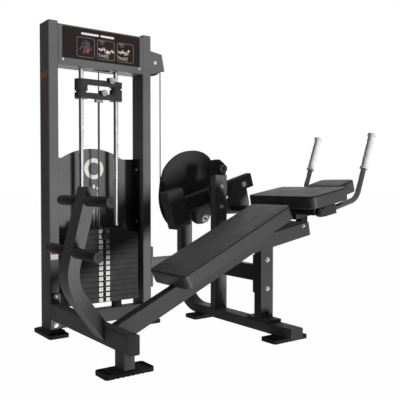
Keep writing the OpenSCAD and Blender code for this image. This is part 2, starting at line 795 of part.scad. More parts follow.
module roller_axles() placed() color(chrome) {
  y0 = post_y - post_d / 2 - roller_l - 2 * side_gap;
  y1 = post_y + post_d / 2 + roller_far + 2 * side_gap;
  for (p = [[roll1_x, roll1_z], [roll2_x, roll2_z]]) {
    pin_y(p[0], p[1], y0, y1, roller_axle);
    pin_y(p[0], p[1], y0 - disc_t, y0 + 0.01, roller_d - 5);
    pin_y(p[0], p[1], y1 - 0.01, y1 + disc_t, roller_d - 5);
    pin_y(p[0], p[1], y0 - disc_t - 5, y0 - disc_t + 0.01, 14);
    pin_y(p[0], p[1], y1 + disc_t - 0.01, y1 + disc_t + 5, 14);
  }
}

module roller(x, z, y0, l)
  difference() {
    pin_y(x, z, y0, y0 + l, roller_d);
    pin_y(x, z, y0 - 1, y0 + l + 1, roller_axle + 2 * run_gap);
  }

module roller_1() placed() color(black) roller(roll1_x, roll1_z, near_y, roller_l);
module roller_2() placed() color(black) roller(roll1_x, roll1_z, far_y, roller_far);
module roller_3() placed() color(black) roller(roll2_x, roll2_z, near_y, roller_l);
module roller_4() placed() color(black) roller(roll2_x, roll2_z, far_y, roller_far);

// bench

function line_x(p, k, x) = p + k * (x - p[0]) / k[0];
function meet(p, k, q, m) =
  p + k * ((q[0] - p[0]) * m[1] - (q[1] - p[1]) * m[0]) / (k[0] * m[1] - k[1] * m[0]);

module bench_beam() placed() color(steel) {
  x = upright_w;
  w = wall;
  top_kink = meet(kink + na * tube_h, ka, kink + nb * rear_h, kb);
  in_top = meet(kink + na * (tube_h - w), ka, kink + nb * (rear_h - w), kb);
  in_low = meet(kink + na * w, ka, kink + nb * w, kb);
  difference() {
    slab([line_x(kink, ka, x), kink, end_low - kb * cap_t, end_low - kb * cap_t + nb * rear_h, top_kink,
      line_x(kink + na * tube_h, ka, x)], bench_y0, bench_y1);
    slab([line_x(kink + na * w, ka, x - 5), in_low, end_low + nb * w + kb, end_low + nb * (rear_h - w) + kb,
      in_top, line_x(kink + na * (tube_h - w), ka, x - 5)], bench_y0 + w, bench_y1 - w);
  }
  for (u = [90, 440])
    leaning(pad1_low, pad1_a, bench_y)
      translate([u, -85, -pad1_gap(u + 60) - 0.5]) cube([60, 170, pad1_gap(u + 60) + 0.5]);
}

// space between the bench beam's top and the board of the bench pad, at a distance u along the board
function pad1_gap(u) = (pad1_low + [cos(pad1_a), sin(pad1_a)] * u - (kink + na * tube_h)) * na;

module bench_board() placed() color([0.2, 0.17, 0.14])
  leaning(pad1_low, pad1_a, bench_y) translate([pad1_l / 2, 0, 0])
    linear_extrude(board_t) rounded(pad1_l - 2 * board_in, pad1_w - 2 * board_in, 24);

module bench_pad() placed() color(vinyl)
  leaning(pad1_low, pad1_a, bench_y) translate([pad1_l / 2, 0, board_t])
    cushion(pad1_l, pad1_w, pad1_t - board_t + crown, 28);

module support_leg() placed() color(steel) {
  w = wall;
  difference() {
    slab([[rear_l, floor_z1 + foot_plate_t], [leg_x1, floor_z1 + foot_plate_t], line_x(kink, kb, leg_x1),
      line_x(kink, kb, rear_l)], bench_y0, bench_y1);
    slab([[rear_l + w, floor_z1 + foot_plate_t - 1], [leg_x1 - w, floor_z1 + foot_plate_t - 1],
      line_x(kink, kb, leg_x1 - w) - [0, w], line_x(kink, kb, rear_l + w) - [0, w]],
      bench_y0 + w, bench_y1 - w);
    pin_y(pivot_x, floor_z1 + foot_plate_t + 24, bench_y0 - 1, bench_y0 + w + 1, 16);
  }
  block(rear_l, leg_x1, bench_y - 85, bench_y + 85, floor_z1, floor_z1 + foot_plate_t);
}

// rear frame

module rear_frame() placed() color(steel) {
  r = floor_bend + tube_w / 2;
  z = foot_h + tube_w + floor_bend;
  along_y(pivot_x, foot_h + tube_w / 2, floor_y0 + cap_t, floor_y1) ring2(tube_h, tube_w);
  translate([pivot_x, floor_y1, z]) rotate([0, 90, 0]) rotate_extrude(angle = 90, $fn = 96)
    translate([r, 0]) rotate(90) ring2(tube_h, tube_w);
  along_z(pivot_x, far_y0 + tube_w / 2, z, pivot_post_h - cap_t) ring2(tube_h, tube_w);
}

module cam_post() placed() color(steel)
  along_z(pivot_x, cam_post_y0 + tube_w / 2, floor_z1, pivot_post_h - cap_t) ring2(tube_h, tube_w);

module cross_brace() placed() color(steel) {
  along_y(pivot_x, brace_z + tube_h / 2, bench_y1 + plate_t, cam_post_y0) ring2(tube_w, tube_h);
  block(rear_l, leg_x1, bench_y1, bench_y1 + plate_t, brace_z - 55, brace_z + 135);
}

// the beam from the tower to the pivot posts
module link_beam() placed() color(steel) {
  along_y(pivot_x, brace_z + tube_h / 2, cam_post_y1, far_y0) ring2(tube_w, tube_h);
  along_x(upright_d / 2, brace_z + tube_h / 2, tower_w + plate_t, brace_x0) ring2(tube_w, tube_h);
  block(tower_w, tower_w + plate_t, 0, upright_d, brace_z - 71, brace_z + 148);
}

module shaft_bearings() placed() color(black)
  for (y = [cam_post_y1, far_y0 - bearing_t])
    difference() {
      along_y(pivot_x, pivot_z, y, y + bearing_t) rounded(62, 140, 20);
      pin_y(pivot_x, pivot_z, y - 1, y + bearing_t + 1, shaft_d + 2 * run_gap);
    }

module rest_stop() placed() color(black) {
  t = end_low + nb * rear_h;
  slab([line_x(t, kb, stop_x0), line_x(t, kb, stop_x1), spine_bottom(stop_x1) - [0, rest_gap],
    spine_bottom(stop_x0) - [0, rest_gap]], bench_y0 + 4, bench_y1 - 4);
  slab([line_x(t, kb, buffer_x0), line_x(t, kb, stop_x0 + 1), line_x(t, kb, stop_x0 + 1) + [0, buffer_h],
    under_pad1(pad1_l) + [4, -14], under_pad1(pad1_l - 6),
    line_x(under_pad1(0), [cos(pad1_a), sin(pad1_a)], buffer_x0)], bench_y0 + 4, bench_y1 - 4);
}

// a point just under the bench pad's board, at a distance u along it
function under_pad1(u) = pad1_low + [cos(pad1_a), sin(pad1_a)] * u - [0, 1];

function spine_bottom(x) = spine_low + [x - spine_low[0], (x - spine_low[0]) * tan(pad2_a)];

module end_caps() placed() color(black) {
  for (x = [upright_w / 2, tower_w - upright_w / 2])
    along_z(x, upright_d / 2, tower_h - cap_t, tower_h) rounded(upright_w, upright_d, tube_r);
  along_y(upright_w / 2, base_z + tube_h / 2, base_y0, base_y0 + cap_t) rounded(tube_w, tube_h, tube_r);
  along_y(pivot_x, foot_h + tube_w / 2, floor_y0, floor_y0 + cap_t) rounded(tube_h, tube_w, tube_r);
  for (y = [cam_post_y0 + tube_w / 2, far_y0 + tube_w / 2])
    along_z(pivot_x, y, pivot_post_h - cap_t, pivot_post_h) rounded(tube_h, tube_w, tube_r);
  leaning(end_low - kb * cap_t, bench_b, bench_y)
    translate([0, -tube_w / 2, 0]) cube([cap_t, tube_w, rear_h]);
  s1 = [bend_x, bend_z] + [-cos(post_a), sin(post_a)] * post_bend;
  translate([s1[0], post_y, s1[1]]) rotate([0, post_a, 0]) translate([0, 0, post_up])
    linear_extrude(cap_t) rounded(post_t, post_d, tube_r);
}

// carriage

module pivot_shaft() placed() color(chrome)
  pin_y(pivot_x, pivot_z, cam_post_y1 + 1, far_y0 - 1, shaft_d);

module on_lever() translate([pivot_x, 0, pivot_z]) rotate([0, -lever_a, 0]) children();

module lever_arm() placed() color(steel)
  difference() {
    on_lever()
      difference() {
        along_x((lever_y0 + lever_y1) / 2, 0, lever_u0, lever_u1) rounded(tube_w, tube_h, tube_r);
        along_x((lever_y0 + lever_y1) / 2, 0, lever_u0 + 5, lever_u1 - 5)
          rounded(tube_w - 2 * wall, tube_h - 2 * wall, tube_r - wall + 0.5);
        pin_y(link_pin_u, link_pin_v, lever_y0 - 1, lever_y1 + 1, link_pin_d + 2 * hole_gap);
        block(lever_u0 - 1, 40, lever_y0 - 1, lever_y0 + wall + 1, -33, 33);
      }
    pin_y(pivot_x, pivot_z, lever_y0 - 1, lever_y1 + 1, shaft_d + 2 * hole_gap);
  }

module counterweight() placed() color(steel)
  on_lever()
    translate([lever_u0 - weight_l, (lever_y0 + lever_y1 - weight_d) / 2, -weight_h / 2])
      cube([weight_l, weight_d, weight_h]);

// cam outline as radius against angle, smoothed between the listed points
cam_pts = [[-70, 174], [-60, 178], [-45, 160], [-25, 145], [0, 150], [18, 190], [28, 252], [34, 282],
  [41, 288], [50, 280], [55, 262], [60, 236], [67, 250], [77, 258], [88, 262], [113, 263], [130, 260],
  [144, 257], [153, 248], [171, 239], [185, 239], [200, 240], [215, 240], [222, 238], [232, 190],
  [242, 125], [253, 98], [265, 145], [279, 168], [290, 174]];
function cam_at(a, i = 0) = a <= cam_pts[i + 1][0]
  ? let (t = (a - cam_pts[i][0]) / (cam_pts[i + 1][0] - cam_pts[i][0]), s = t * t * (3 - 2 * t))
    cam_pts[i][1] + (cam_pts[i + 1][1] - cam_pts[i][1]) * (0.4 * s + 0.6 * t)
  : cam_at(a, i + 1);
cam_line = [for (a = [-70:4:286]) [pivot_x, pivot_z] + cam_at(a) * [cos(a), sin(a)]];

module cam() placed() color([0.2, 0.2, 0.2])
  difference() {
    union() {
      slab(cam_line, cam_y0, cam_y0 + cheek_t);
      slab(cam_line, cam_y1 - cheek_t, cam_y1);
      intersection() {
        pin_y(pivot_x, pivot_z, cam_y0 + 1, cam_y1 - 1, 2 * cam_core);
        slab(cam_line, cam_y0 + 1, cam_y1 - 1);
      }
      pin_y(pivot_x, pivot_z, lever_y1, cam_y1 + 20, shaft_d + 26);
    }
    pin_y(pivot_x, pivot_z, lever_y1 - 1, cam_y1 + 21, shaft_d + 2 * hole_gap);
  }

module cam_bumpers() placed() color([0.85, 0.85, 0.85])
  for (p = [[204, 161], [67, -134]]) {
    pin_y(pivot_x + p[0], pivot_z + p[1], cam_y0 - 16, cam_y0, 46);
    pin_y(pivot_x + p[0], pivot_z + p[1], cam_y0 - 20, cam_y0 - 15, 16);
  }

module link_plate() placed() color(steel)
  difference() {
    slab([[cross_x - 3.25, pivot_z + 86], [cross_x + 90.75, pivot_z + 45], [cross_x + 113.75, pivot_z - 46],
      [cross_x + 96.75, pivot_z - 103], [cross_x - 58.25, pivot_z - 103],
      [cross_x - 54.25, pivot_z - 33]], link_y0, lever_y0);
    on_lever()
      pin_y(link_pin_u, link_pin_v, link_y0 - 1, lever_y0 + 1, link_pin_d + 2 * hole_gap);
  }

module carriage_pins() placed() color(chrome) {
  on_lever() {
    pin_y(link_pin_u, link_pin_v, link_y0 - 6, lever_y1 + 6, link_pin_d);
    pin_y(link_pin_u, link_pin_v, link_y0 - 10, link_y0, link_pin_d + 12);
    pin_y(link_pin_u, link_pin_v, lever_y1, lever_y1 + 8, link_pin_d + 10);
  }
  difference() {
    pin_y(stub_x, stub_z, cross_y0 - ring_t, cross_y0, ring_d);
    pin_y(stub_x, stub_z, cross_y0 - ring_t - 1, cross_y0 + 1, stub_d + 2 * hole_gap);
  }
}

module cross_tube() placed() color(steel) {
  along_y(cross_x, cross_zc, cross_y0 + cap_t, link_y0) ring2(cross_s, cross_t);
  along_y(cross_x, cross_zc, cross_y0, cross_y0 + cap_t) rounded(cross_s, cross_t, tube_r);
  pin_y(stub_x, stub_z, cross_y0 - ring_t - 6, cross_y0 + 1, stub_d);
}

module handle_sockets() placed() color(steel)
  for (s = [-1, 1])
    difference() {
      translate([socket_x, bench_y + s * handle_dy, socket_z]) rotate([0, -pad2_a, 0])
        translate([-socket_l / 2, -socket_w / 2, -socket_h / 2]) cube([socket_l + 2, socket_w, socket_h]);
      block(spine_x0 - 30, spine_x0, bench_y - 400, bench_y + 400, cross_zc - 100, cross_zc + 100);
      translate([handle_p[0], bench_y + s * handle_dy, handle_p[1]]) rotate([0, 90 - handle_s, 0])
        translate([0, 0, -40.3]) cylinder(d = handle_d + 2 * hole_gap, h = 80);
    }

// the tube under both pads, with a strut on to the head pad
module pad_spine() placed() color(steel) {
  k2 = [cos(pad2_a), sin(pad2_a)];
  k3 = [cos(pad3_a), sin(pad3_a)];
  x1 = spine_x1;
  x2 = pad3_low[0] + 9.8;
  x3 = x2 + 90;
  difference() {
    slab([spine_bottom(spine_x0), spine_bottom(x1), line_x(pad2_low, k2, x1), line_x(pad2_low, k2, spine_x0)],
      bench_y - 25, bench_y + 25);
    slab([spine_bottom(spine_x0 - 1) + [0, wall], spine_bottom(x1 - wall) + [0, wall],
      line_x(pad2_low, k2, x1 - wall) - [0, wall], line_x(pad2_low, k2, spine_x0 - 1) - [0, wall]],
      bench_y - 25 + wall, bench_y + 25 - wall);
  }
  slab([spine_bottom(x1 - 1) + [0, 20], line_x(pad3_low, k3, x2) - [0, 40],
    line_x(pad3_low, k3, x3) - [0, 26], line_x(pad3_low, k3, x3), line_x(pad3_low, k3, x2 - 3),
    line_x(pad2_low, k2, x1 - 1) - [0, 6]],
    bench_y - 20, bench_y + 20);
}

module carriage_boards() placed() color([0.2, 0.17, 0.14]) {
  leaning(pad2_low, pad2_a, bench_y + pad_dy) translate([pad2_l / 2, 0, 0])
    linear_extrude(board_t) rounded(pad2_l - 2 * board_in, pad2_w - 2 * board_in, 25);
  leaning(pad3_low, pad3_a, bench_y + pad_dy) translate([pad3_l / 2, 0, 0])
    linear_extrude(board_t) rounded(pad3_l - 2 * board_in, pad3_w - 2 * board_in, 24);
}

module upper_pad() placed() color(vinyl)
  leaning(pad2_low, pad2_a, bench_y + pad_dy) translate([pad2_l / 2, 0, board_t])
    cushion(pad2_l, pad2_w, pad2_t - board_t + crown, 30);

module head_pad() placed() color(vinyl)
  leaning(pad3_low, pad3_a, bench_y + pad_dy) translate([pad3_l / 2, 0, board_t])
    cushion(pad3_l, pad3_w, pad3_t - board_t + crown, 28);

// bent handle tubes, with a fine weld bead at each end of the bend
module handles() placed() color(steel) {
  b1 = handle_c - handle_dir * handle_tan;
  b2 = handle_c + grip_dir * handle_tan;
  l1 = norm(b1 - handle_p) + 40;
  l2 = norm(grip_top - b2) - 4;
  o = b1 + [-handle_dir[1], handle_dir[0]] * handle_bend;
  for (s = [-1, 1])
    translate([0, bench_y + s * handle_dy, 0]) {
      translate([b1[0], 0, b1[1]]) rotate([0, 90 - handle_s, 0]) {
        translate([0, 0, -l1]) cylinder(d = handle_d, h = l1 - 1);
        translate([0, 0, -3]) cylinder(d = handle_d + 0.8, h = 6);
      }
      translate([o[0], 0, o[1]]) rotate([90, 0, 0]) rotate([0, 0, handle_s - 89.3])
        rotate_extrude(angle = handle_turn - 1.4, $fn = 96)
          translate([handle_bend, 0]) circle(d = handle_d);
      translate([b2[0], 0, b2[1]]) rotate([0, grip_a, 0]) {
        translate([0, 0, -3]) cylinder(d = handle_d + 0.8, h = 6);
        translate([0, 0, 1]) cylinder(d = handle_d, h = l2 - 1);
      }
    }
}

module grips() placed() color([0.85, 0.85, 0.85])
  for (s = [-1, 1])
    translate([grip_p[0], bench_y + s * handle_dy, grip_p[1]]) rotate([0, grip_a, 0])
      rotate_extrude() grip_profile();

// half section of a ribbed grip with a collar at each end and a closed top
module grip_profile() {
  r0 = handle_d / 2 + hole_gap;
  n = 24;
  ribs = [for (i = [0:n - 1], j = [0, 1])
    [grip_d / 2 - (j == 0 ? 0 : 0.8), 10 + (i + j * 0.6) * (grip_l - 10) / n]];
  polygon(concat([[r0, 0], [collar_d / 2, 0], [collar_d / 2, 10]], ribs,
    [[collar_d / 2, grip_l], [collar_d / 2, grip_l + 12], [0, grip_l + 12], [0, grip_l + 8.2],
      [r0, grip_l + 8.2]]));
}

left_upright();
right_upright();
header();
placard();
cross_beam();
guide_rods();
stack_bumpers();
weight_plates();
shroud();
pulley_bracket();
pulley_axles();
main_cable();
base_beam();
frame_bolts();
rubber_feet();
foot_post();
roller_axles();
bench_beam();
bench_board();
bench_pad();
support_leg();
rear_frame();
link_beam();
cam_post();
cross_brace();
shaft_bearings();
rest_stop();
end_caps();
head_plate();
top_plate();
selector_stem();
cable_fitting();
stack_cable();
selector_pin();
header_pulley();
outer_pulley();
pivot_shaft();
lever_arm();
counterweight();
cam();
cam_bumpers();
link_plate();
carriage_pins();
cross_tube();
handle_sockets();
pad_spine();
carriage_boards();
upper_pad();
head_pad();
handles();
grips();
cam_cable();
roller_1();
roller_2();
roller_3();
roller_4();
addon_upper();
addon_lower();
pull_upper();
pull_lower();
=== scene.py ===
import math

import bpy
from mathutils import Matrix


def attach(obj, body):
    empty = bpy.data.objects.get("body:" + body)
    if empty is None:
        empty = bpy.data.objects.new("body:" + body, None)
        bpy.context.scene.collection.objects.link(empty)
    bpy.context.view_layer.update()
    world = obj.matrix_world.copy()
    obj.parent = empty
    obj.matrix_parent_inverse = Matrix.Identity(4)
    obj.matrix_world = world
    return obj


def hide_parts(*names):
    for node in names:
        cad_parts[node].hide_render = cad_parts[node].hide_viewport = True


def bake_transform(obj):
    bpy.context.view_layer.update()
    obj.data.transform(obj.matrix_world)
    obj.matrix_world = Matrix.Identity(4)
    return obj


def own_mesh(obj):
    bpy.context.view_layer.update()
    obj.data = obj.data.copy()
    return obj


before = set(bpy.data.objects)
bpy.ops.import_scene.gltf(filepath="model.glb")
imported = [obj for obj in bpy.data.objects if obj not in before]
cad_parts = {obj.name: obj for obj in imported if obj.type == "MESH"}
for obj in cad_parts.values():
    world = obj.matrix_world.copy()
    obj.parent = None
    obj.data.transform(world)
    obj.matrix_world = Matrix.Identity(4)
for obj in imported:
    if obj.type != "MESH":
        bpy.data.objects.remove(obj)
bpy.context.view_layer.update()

# Camera. The photograph was taken from the front left, about level with the pads,
# with a lens of some 54 mm on a 36 mm frame.
bpy.ops.object.select_all(action="DESELECT")
bpy.ops.object.camera_add(
    location=(-1.797125, -2.47055, 0.7477),
    rotation=(math.radians(88.49), 0, math.radians(-36.07)),
)
camera = bpy.context.object
camera.data.sensor_width = 36
camera.data.lens = 53.776
camera.data.clip_end = 100
bpy.context.scene.camera = camera
bpy.context.scene.view_settings.view_transform = "Standard"


# Studio. A seamless white floor in a dim white room. The main light comes from low in front, a second
# from behind on the right, and weak ones from the left and from below. A black flag on the left keeps
# the white off the metal, and a net scrim low in front dims the foot of the post.
def linear(code):
    """An sRGB hex colour such as "6e6e6e" as the linear colour that a shader takes."""
    parts = [int(code[i:i + 2], 16) / 255 for i in (0, 2, 4)]
    return [p / 12.92 if p <= 0.04045 else ((p + 0.055) / 1.055) ** 2.4 for p in parts] + [1]


def bare_tree(owner):
    """The empty node tree of a material or a world."""
    owner.use_nodes = True
    owner.node_tree.nodes.clear()
    return owner.node_tree


def add(tree, kind, settings=None, **inputs):
    """Adds one node. Settings are its own, inputs are values or sockets by the input's name."""
    made = tree.nodes.new("ShaderNode" + kind)
    for name, value in (settings or {}).items():
        setattr(made, name, value)
    for name, value in inputs.items():
        socket = made.inputs[int(name[1:]) if name[1:].isdigit() else name.replace("_", " ")]
        if isinstance(value, bpy.types.NodeSocket):
            tree.links.new(value, socket)
        else:
            socket.default_value = value
    return made


def seen_white(tree, shader, share):
    """Mixes a plain white of strength 1 over a shader, where the camera or a reflection sees it."""
    ray = add(tree, "LightPath").outputs
    direct = add(tree, "Math", {"operation": "MAXIMUM"}, _0=ray["Is Camera Ray"], _1=ray["Is Glossy Ray"])
    seen = add(tree, "Math", {"operation": "MAXIMUM"}, _0=direct.outputs[0], _1=ray["Is Transmission Ray"])
    part = add(tree, "Math", {"operation": "MULTIPLY"}, _0=seen.outputs[0], _1=share)
    glow = "Background" if shader.type == "BACKGROUND" else "Emission"
    white = add(tree, glow, Color=(1, 1, 1, 1), Strength=1)
    return add(tree, "MixShader", _0=part.outputs[0], _1=shader.outputs[0], _2=white.outputs[0])


def studio_sheet(name, place, turn, sides, surface):
    """A flat sheet of the studio, by its middle, its turn in degrees and its sides in metres."""
    bpy.ops.object.select_all(action="DESELECT")
    bpy.ops.mesh.primitive_plane_add(size=1, location=place, rotation=[math.radians(a) for a in turn])
    made = bpy.context.object
    made.name = name
    made.scale = (*sides, 1)
    made.data.materials.append(surface)
    return made


world = bpy.data.worlds.new("studio_room")
bpy.context.scene.world = world
tree = bare_tree(world)
room = add(tree, "Background", Color=(1, 1, 1, 1), Strength=0.035)
add(tree, "OutputWorld", Surface=seen_white(tree, room, 1).outputs[0])

paper = bpy.data.materials.new("matt_white_paper")
tree = bare_tree(paper)
tone = add(tree, "TexNoise", Scale=3, Detail=2).outputs["Fac"]
pale = add(tree, "Mix", {"data_type": "RGBA"}, _0=tone, _6=linear("e8e8e8"), _7=linear("eeeeee"))
matt = add(tree, "BsdfDiffuse", Color=pale.outputs[2], Roughness=1)
add(tree, "OutputMaterial", Surface=seen_white(tree, matt, 0.99).outputs[0])
floor = studio_sheet("floor", (0, 0, -0.0005), (0, 0, 0), (60, 60), paper)
floor.visible_shadow = False

felt = bpy.data.materials.new("black_felt")
tree = bare_tree(felt)
black = add(tree, "BsdfPrincipled", Base_Color=linear("050505"), Specular_IOR_Level=0)
add(tree, "OutputMaterial", Surface=black.outputs[0])
flag = studio_sheet("black_flag", (-3.4, 2.05, 1.4), (0, 90, 0), (2.8, 11.9), felt)
flag.visible_camera = flag.visible_diffuse = flag.visible_shadow = False

net = bpy.data.materials.new("grey_net")
tree = bare_tree(net)
holes = add(tree, "BsdfTransparent", Color=(0.35, 0.35, 0.35, 1))
add(tree, "OutputMaterial", Surface=holes.outputs[0])
scrim = studio_sheet("net_scrim", (-0.595, -1.25, -0.3), (90, 0, 0), (0.19, 0.7), net)
scrim.visible_camera = scrim.visible_diffuse = scrim.visible_glossy = scrim.visible_transmission = False

for name, travel, strength, spread in (
    ("low_front_light", (-0.12, 0.955, 0.27), 2.7, 10),
    ("left_light", (0.98, -0.12, -0.1), 0.1, 30),
    ("under_light", (0.12, 0.15, 0.97), 0.6, 50),
    ("back_light", (-0.55, -0.83, 0.08), 2.0, 20),
):
    bpy.ops.object.light_add(type="SUN", location=[-3 * part for part in travel])
    lamp = bpy.context.object
    lamp.name = name
    lamp.data.energy = strength
    lamp.data.angle = math.radians(spread)
    flat = math.hypot(travel[0], travel[1])
    lamp.rotation_euler = (math.atan2(flat, -travel[2]), 0, math.atan2(-travel[0], travel[1]))


# Welded frame. Tubes and plates of mild steel, welded and bolted together. They are powder coated in
# graphite, and black on the cam and the pad carriage: satin, with a fine orange peel and faint cloudiness.
# The parts low around the bench and the counterweight get a darker graphite that is painted shade.
def new_finish(name, **shader):
    """A material with a Principled shader. Returns it with its tree, shader and Object coordinates."""
    made = bpy.data.materials.new(name)
    tree = bare_tree(made)
    skin = add(tree, "BsdfPrincipled", **shader)
    add(tree, "OutputMaterial", Surface=skin.outputs[0])
    return made, tree, skin, add(tree, "TexCoord").outputs["Object"]


def mottle(tree, skin, coords, size_mm, dark, light):
    """Colours a shader in two tones, in soft clouds of a real size. Returns the cloud's strength."""
    cloud = add(tree, "TexNoise", Vector=coords, Scale=1000 / size_mm, Detail=3)
    even = add(tree, "MapRange", Value=cloud.outputs["Fac"], From_Min=0.35, From_Max=0.65).outputs[0]
    tones = add(tree, "Mix", {"data_type": "RGBA"}, _0=even, _6=linear(dark), _7=linear(light))
    tree.links.new(tones.outputs[2], skin.inputs["Base Color"])
    return even


def roughen(tree, skin, height, depth_mm, strength):
    """Lets a pattern stand out of a surface by a real depth."""
    bump = add(tree, "Bump", Height=height, Distance=depth_mm / 1000, Strength=strength)
    tree.links.new(bump.outputs[0], skin.inputs["Normal"])


def grain(tree, skin, coords, size_mm, depth_mm, strength, detail=2):
    """A fine grain of a real depth. The real one is 1 mm wide or less: drawn coarser so that it shows."""
    fine = add(tree, "TexNoise", Vector=coords, Scale=1000 / size_mm, Detail=detail)
    roughen(tree, skin, fine.outputs["Fac"], depth_mm, strength)


def uneven_gloss(tree, skin, pattern, smooth, dull):
    """Lets a shader's roughness follow a pattern between two values."""
    gloss = add(tree, "MapRange", Value=pattern, To_Min=smooth, To_Max=dull)
    tree.links.new(gloss.outputs[0], skin.inputs["Roughness"])


def dress(material, *names):
    """Gives CAD nodes a material."""
    for name in names:
        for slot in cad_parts[name].material_slots:
            slot.material = material


def powder_coat(name, dark, light, shine=0.1):
    """Powder coat, smoother the more it shines. Returns the material, its tree and its shader."""
    made, tree, skin, coords = new_finish(name, Specular_IOR_Level=shine)
    cloud = mottle(tree, skin, coords, 220, dark, light)
    # orange peel is about 1 mm wide: drawn at 4 mm so that it shows
    grain(tree, skin, coords, 4, 0.25, 0.3, 1)
    uneven_gloss(tree, skin, cloud, 0.6 - shine / 2, 0.7 - shine / 2)
    return made, tree, skin


graphite = ("6a6a6a", "717171")
dress(powder_coat("graphite_powder_coat", *graphite)[0],
      "left_upright", "right_upright", "header", "pulley_bracket", "base_beam", "foot_post",
      "rear_frame", "link_beam", "cam_post", "lever_arm", "link_plate")
# painted shade: a darker copy of the graphite on the parts that lie low around the bench and on the
# counterweight
dress(powder_coat("graphite_powder_coat_painted_shade", "4a4a4a", "505050")[0],
      "bench_beam", "support_leg", "cross_beam", "cross_brace", "counterweight")
dress(powder_coat("black_powder_coat", "383838", "3f3f3f")[0],
      "cam", "cross_tube", "handle_sockets", "pad_spine")

# Feet, bumpers, caps and pulleys. Feet, stack bumpers and the rest stop are moulded black rubber, dull
# and slightly grainy. The caps in the tube ends and the pulleys are moulded black nylon, half dull.
rubber, tree, skin, coords = new_finish("moulded_rubber", Roughness=0.8, Specular_IOR_Level=0.15)
mottle(tree, skin, coords, 50, "1b1b1b", "232323")
grain(tree, skin, coords, 3, 0.3, 0.5, 3)
dress(rubber, "rubber_feet", "stack_bumpers", "rest_stop")

nylon, tree, skin, coords = new_finish("moulded_black_nylon", Roughness=0.5, Specular_IOR_Level=0.25)
mottle(tree, skin, coords, 35, "202020", "282828")
grain(tree, skin, coords, 2, 0.15, 0.4)
dress(nylon, "end_caps", "header_pulley", "outer_pulley")

# Bolts and axles. Hexagon bolts, washers, screws and the pulleys' axles, cold formed or turned from
# steel and zinc plated: pale grey, clouded and half dull.
zinc_tones = ("b4b4b4", "cccccc")
zinc_cloud = 8
zinc, tree, skin, coords = new_finish("zinc_plated_steel", Metallic=0.5, Roughness=0.4)
mottle(tree, skin, coords, zinc_cloud, *zinc_tones)
grain(tree, skin, coords, 1.4, 0.05, 0.4)
dress(zinc, "frame_bolts", "pulley_axles")


# Carriage pins. The link's pin is turned steel, zinc plated. The collar that is pushed on to the cross
# tube's front end is black, so the finish changes with the depth.
def overlay(tree, skin, share, code):
    """Lays one more colour over a shader's own, as far as a share says."""
    own = skin.inputs["Base Color"].links[0].from_socket
    tones = add(tree, "Mix", {"data_type": "RGBA"}, _0=share, _6=own, _7=linear(code))
    tree.links.new(tones.outputs[2], skin.inputs["Base Color"])


collar_back = -0.3
pin_finish, tree, skin, coords = new_finish("zinc_and_black_steel", Metallic=0.5, Roughness=0.35)
mottle(tree, skin, coords, zinc_cloud, *zinc_tones)
depth = add(tree, "SeparateXYZ", Vector=add(tree, "NewGeometry").outputs["Position"]).outputs["Y"]
front = add(tree, "Math", {"operation": "LESS_THAN"}, _0=depth, _1=collar_back)
overlay(tree, skin, front.outputs[0], "262626")
dress(pin_finish, "carriage_pins")

# Placard. A printed sheet of plastic on the header's front, dark brown, with three
# line frames that hold plain signs for the exercise, printed in thick ink.
corner_x, corner_y = -677.875, 310
ink_high = 0.4


def at(x, y, z):
    """A place in millimetres from the left upright's front corner, as a place in the frame."""
    return ((corner_x + x) / 1000, (corner_y + y) / 1000, z / 1000)


def choose(piece):
    """Selects one piece alone."""
    bpy.ops.object.select_all(action="DESELECT")
    piece.select_set(True)
    bpy.context.view_layer.objects.active = piece


def leave():
    """Back to object mode."""
    bpy.ops.object.mode_set(mode="OBJECT")


def pick(piece, kind, test):
    """Edit mode with only those vertices, edges or faces selected whose middle passes a test."""
    if bpy.context.object and bpy.context.object.mode == "EDIT":
        leave()
    choose(piece)
    bpy.ops.object.mode_set(mode="EDIT")
    bpy.ops.mesh.select_mode(type=kind)
    bpy.ops.mesh.select_all(action="DESELECT")
    leave()
    points = piece.data.vertices
    for vertex in points if kind == "VERT" else ():
        vertex.select = test(vertex.co)
    for edge in piece.data.edges if kind == "EDGE" else ():
        first, last = (points[i].co for i in edge.vertices)
        edge.select = test((first + last) / 2, (last - first).normalized())
    for face in piece.data.polygons if kind == "FACE" else ():
        face.select = test(face.center, face.normal)
    bpy.ops.object.mode_set(mode="EDIT")


def apply(piece, kind, **settings):
    """Adds a modifier and applies it."""
    choose(piece)
    made = piece.modifiers.new(kind.lower(), kind)
    for name, value in settings.items():
        setattr(made, name, value)
    bpy.ops.object.modifier_apply(modifier=made.name)


def joined(pieces):
    """Several pieces as one."""
    bpy.ops.object.select_all(action="DESELECT")
    for piece in pieces:
        piece.select_set(True)
    bpy.context.view_layer.objects.active = pieces[0]
    bpy.ops.object.join()
    return bpy.context.object


def settle(piece, name, body, material, smooth=40):
    """Ends a piece: its place goes into its mesh, and it gets its name, finish and body."""
    choose(piece)
    bpy.ops.object.transform_apply(location=True, rotation=True, scale=True)
    bpy.ops.object.shade_smooth_by_angle(angle=math.radians(smooth))
    piece.name = piece.data.name = name
    piece.data.materials.clear()
    piece.data.materials.append(material)
    if body:
        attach(piece, body)
    return piece


def rounded_block(place, size, axis, corner, segments=3):
    """A block by its middle and its size in millimetres, with the corners along one axis rounded."""
    bpy.ops.object.select_all(action="DESELECT")
    bpy.ops.mesh.primitive_cube_add(size=1, location=place, scale=[side / 1000 for side in size])
    made = bpy.context.object
    bpy.ops.object.transform_apply(location=True, scale=True)
    pick(made, "EDGE", lambda middle, way: abs(getattr(way, axis)) > 0.9)
    bpy.ops.mesh.bevel(offset=corner / 1000, segments=segments, affect="EDGES")
    leave()
    return made


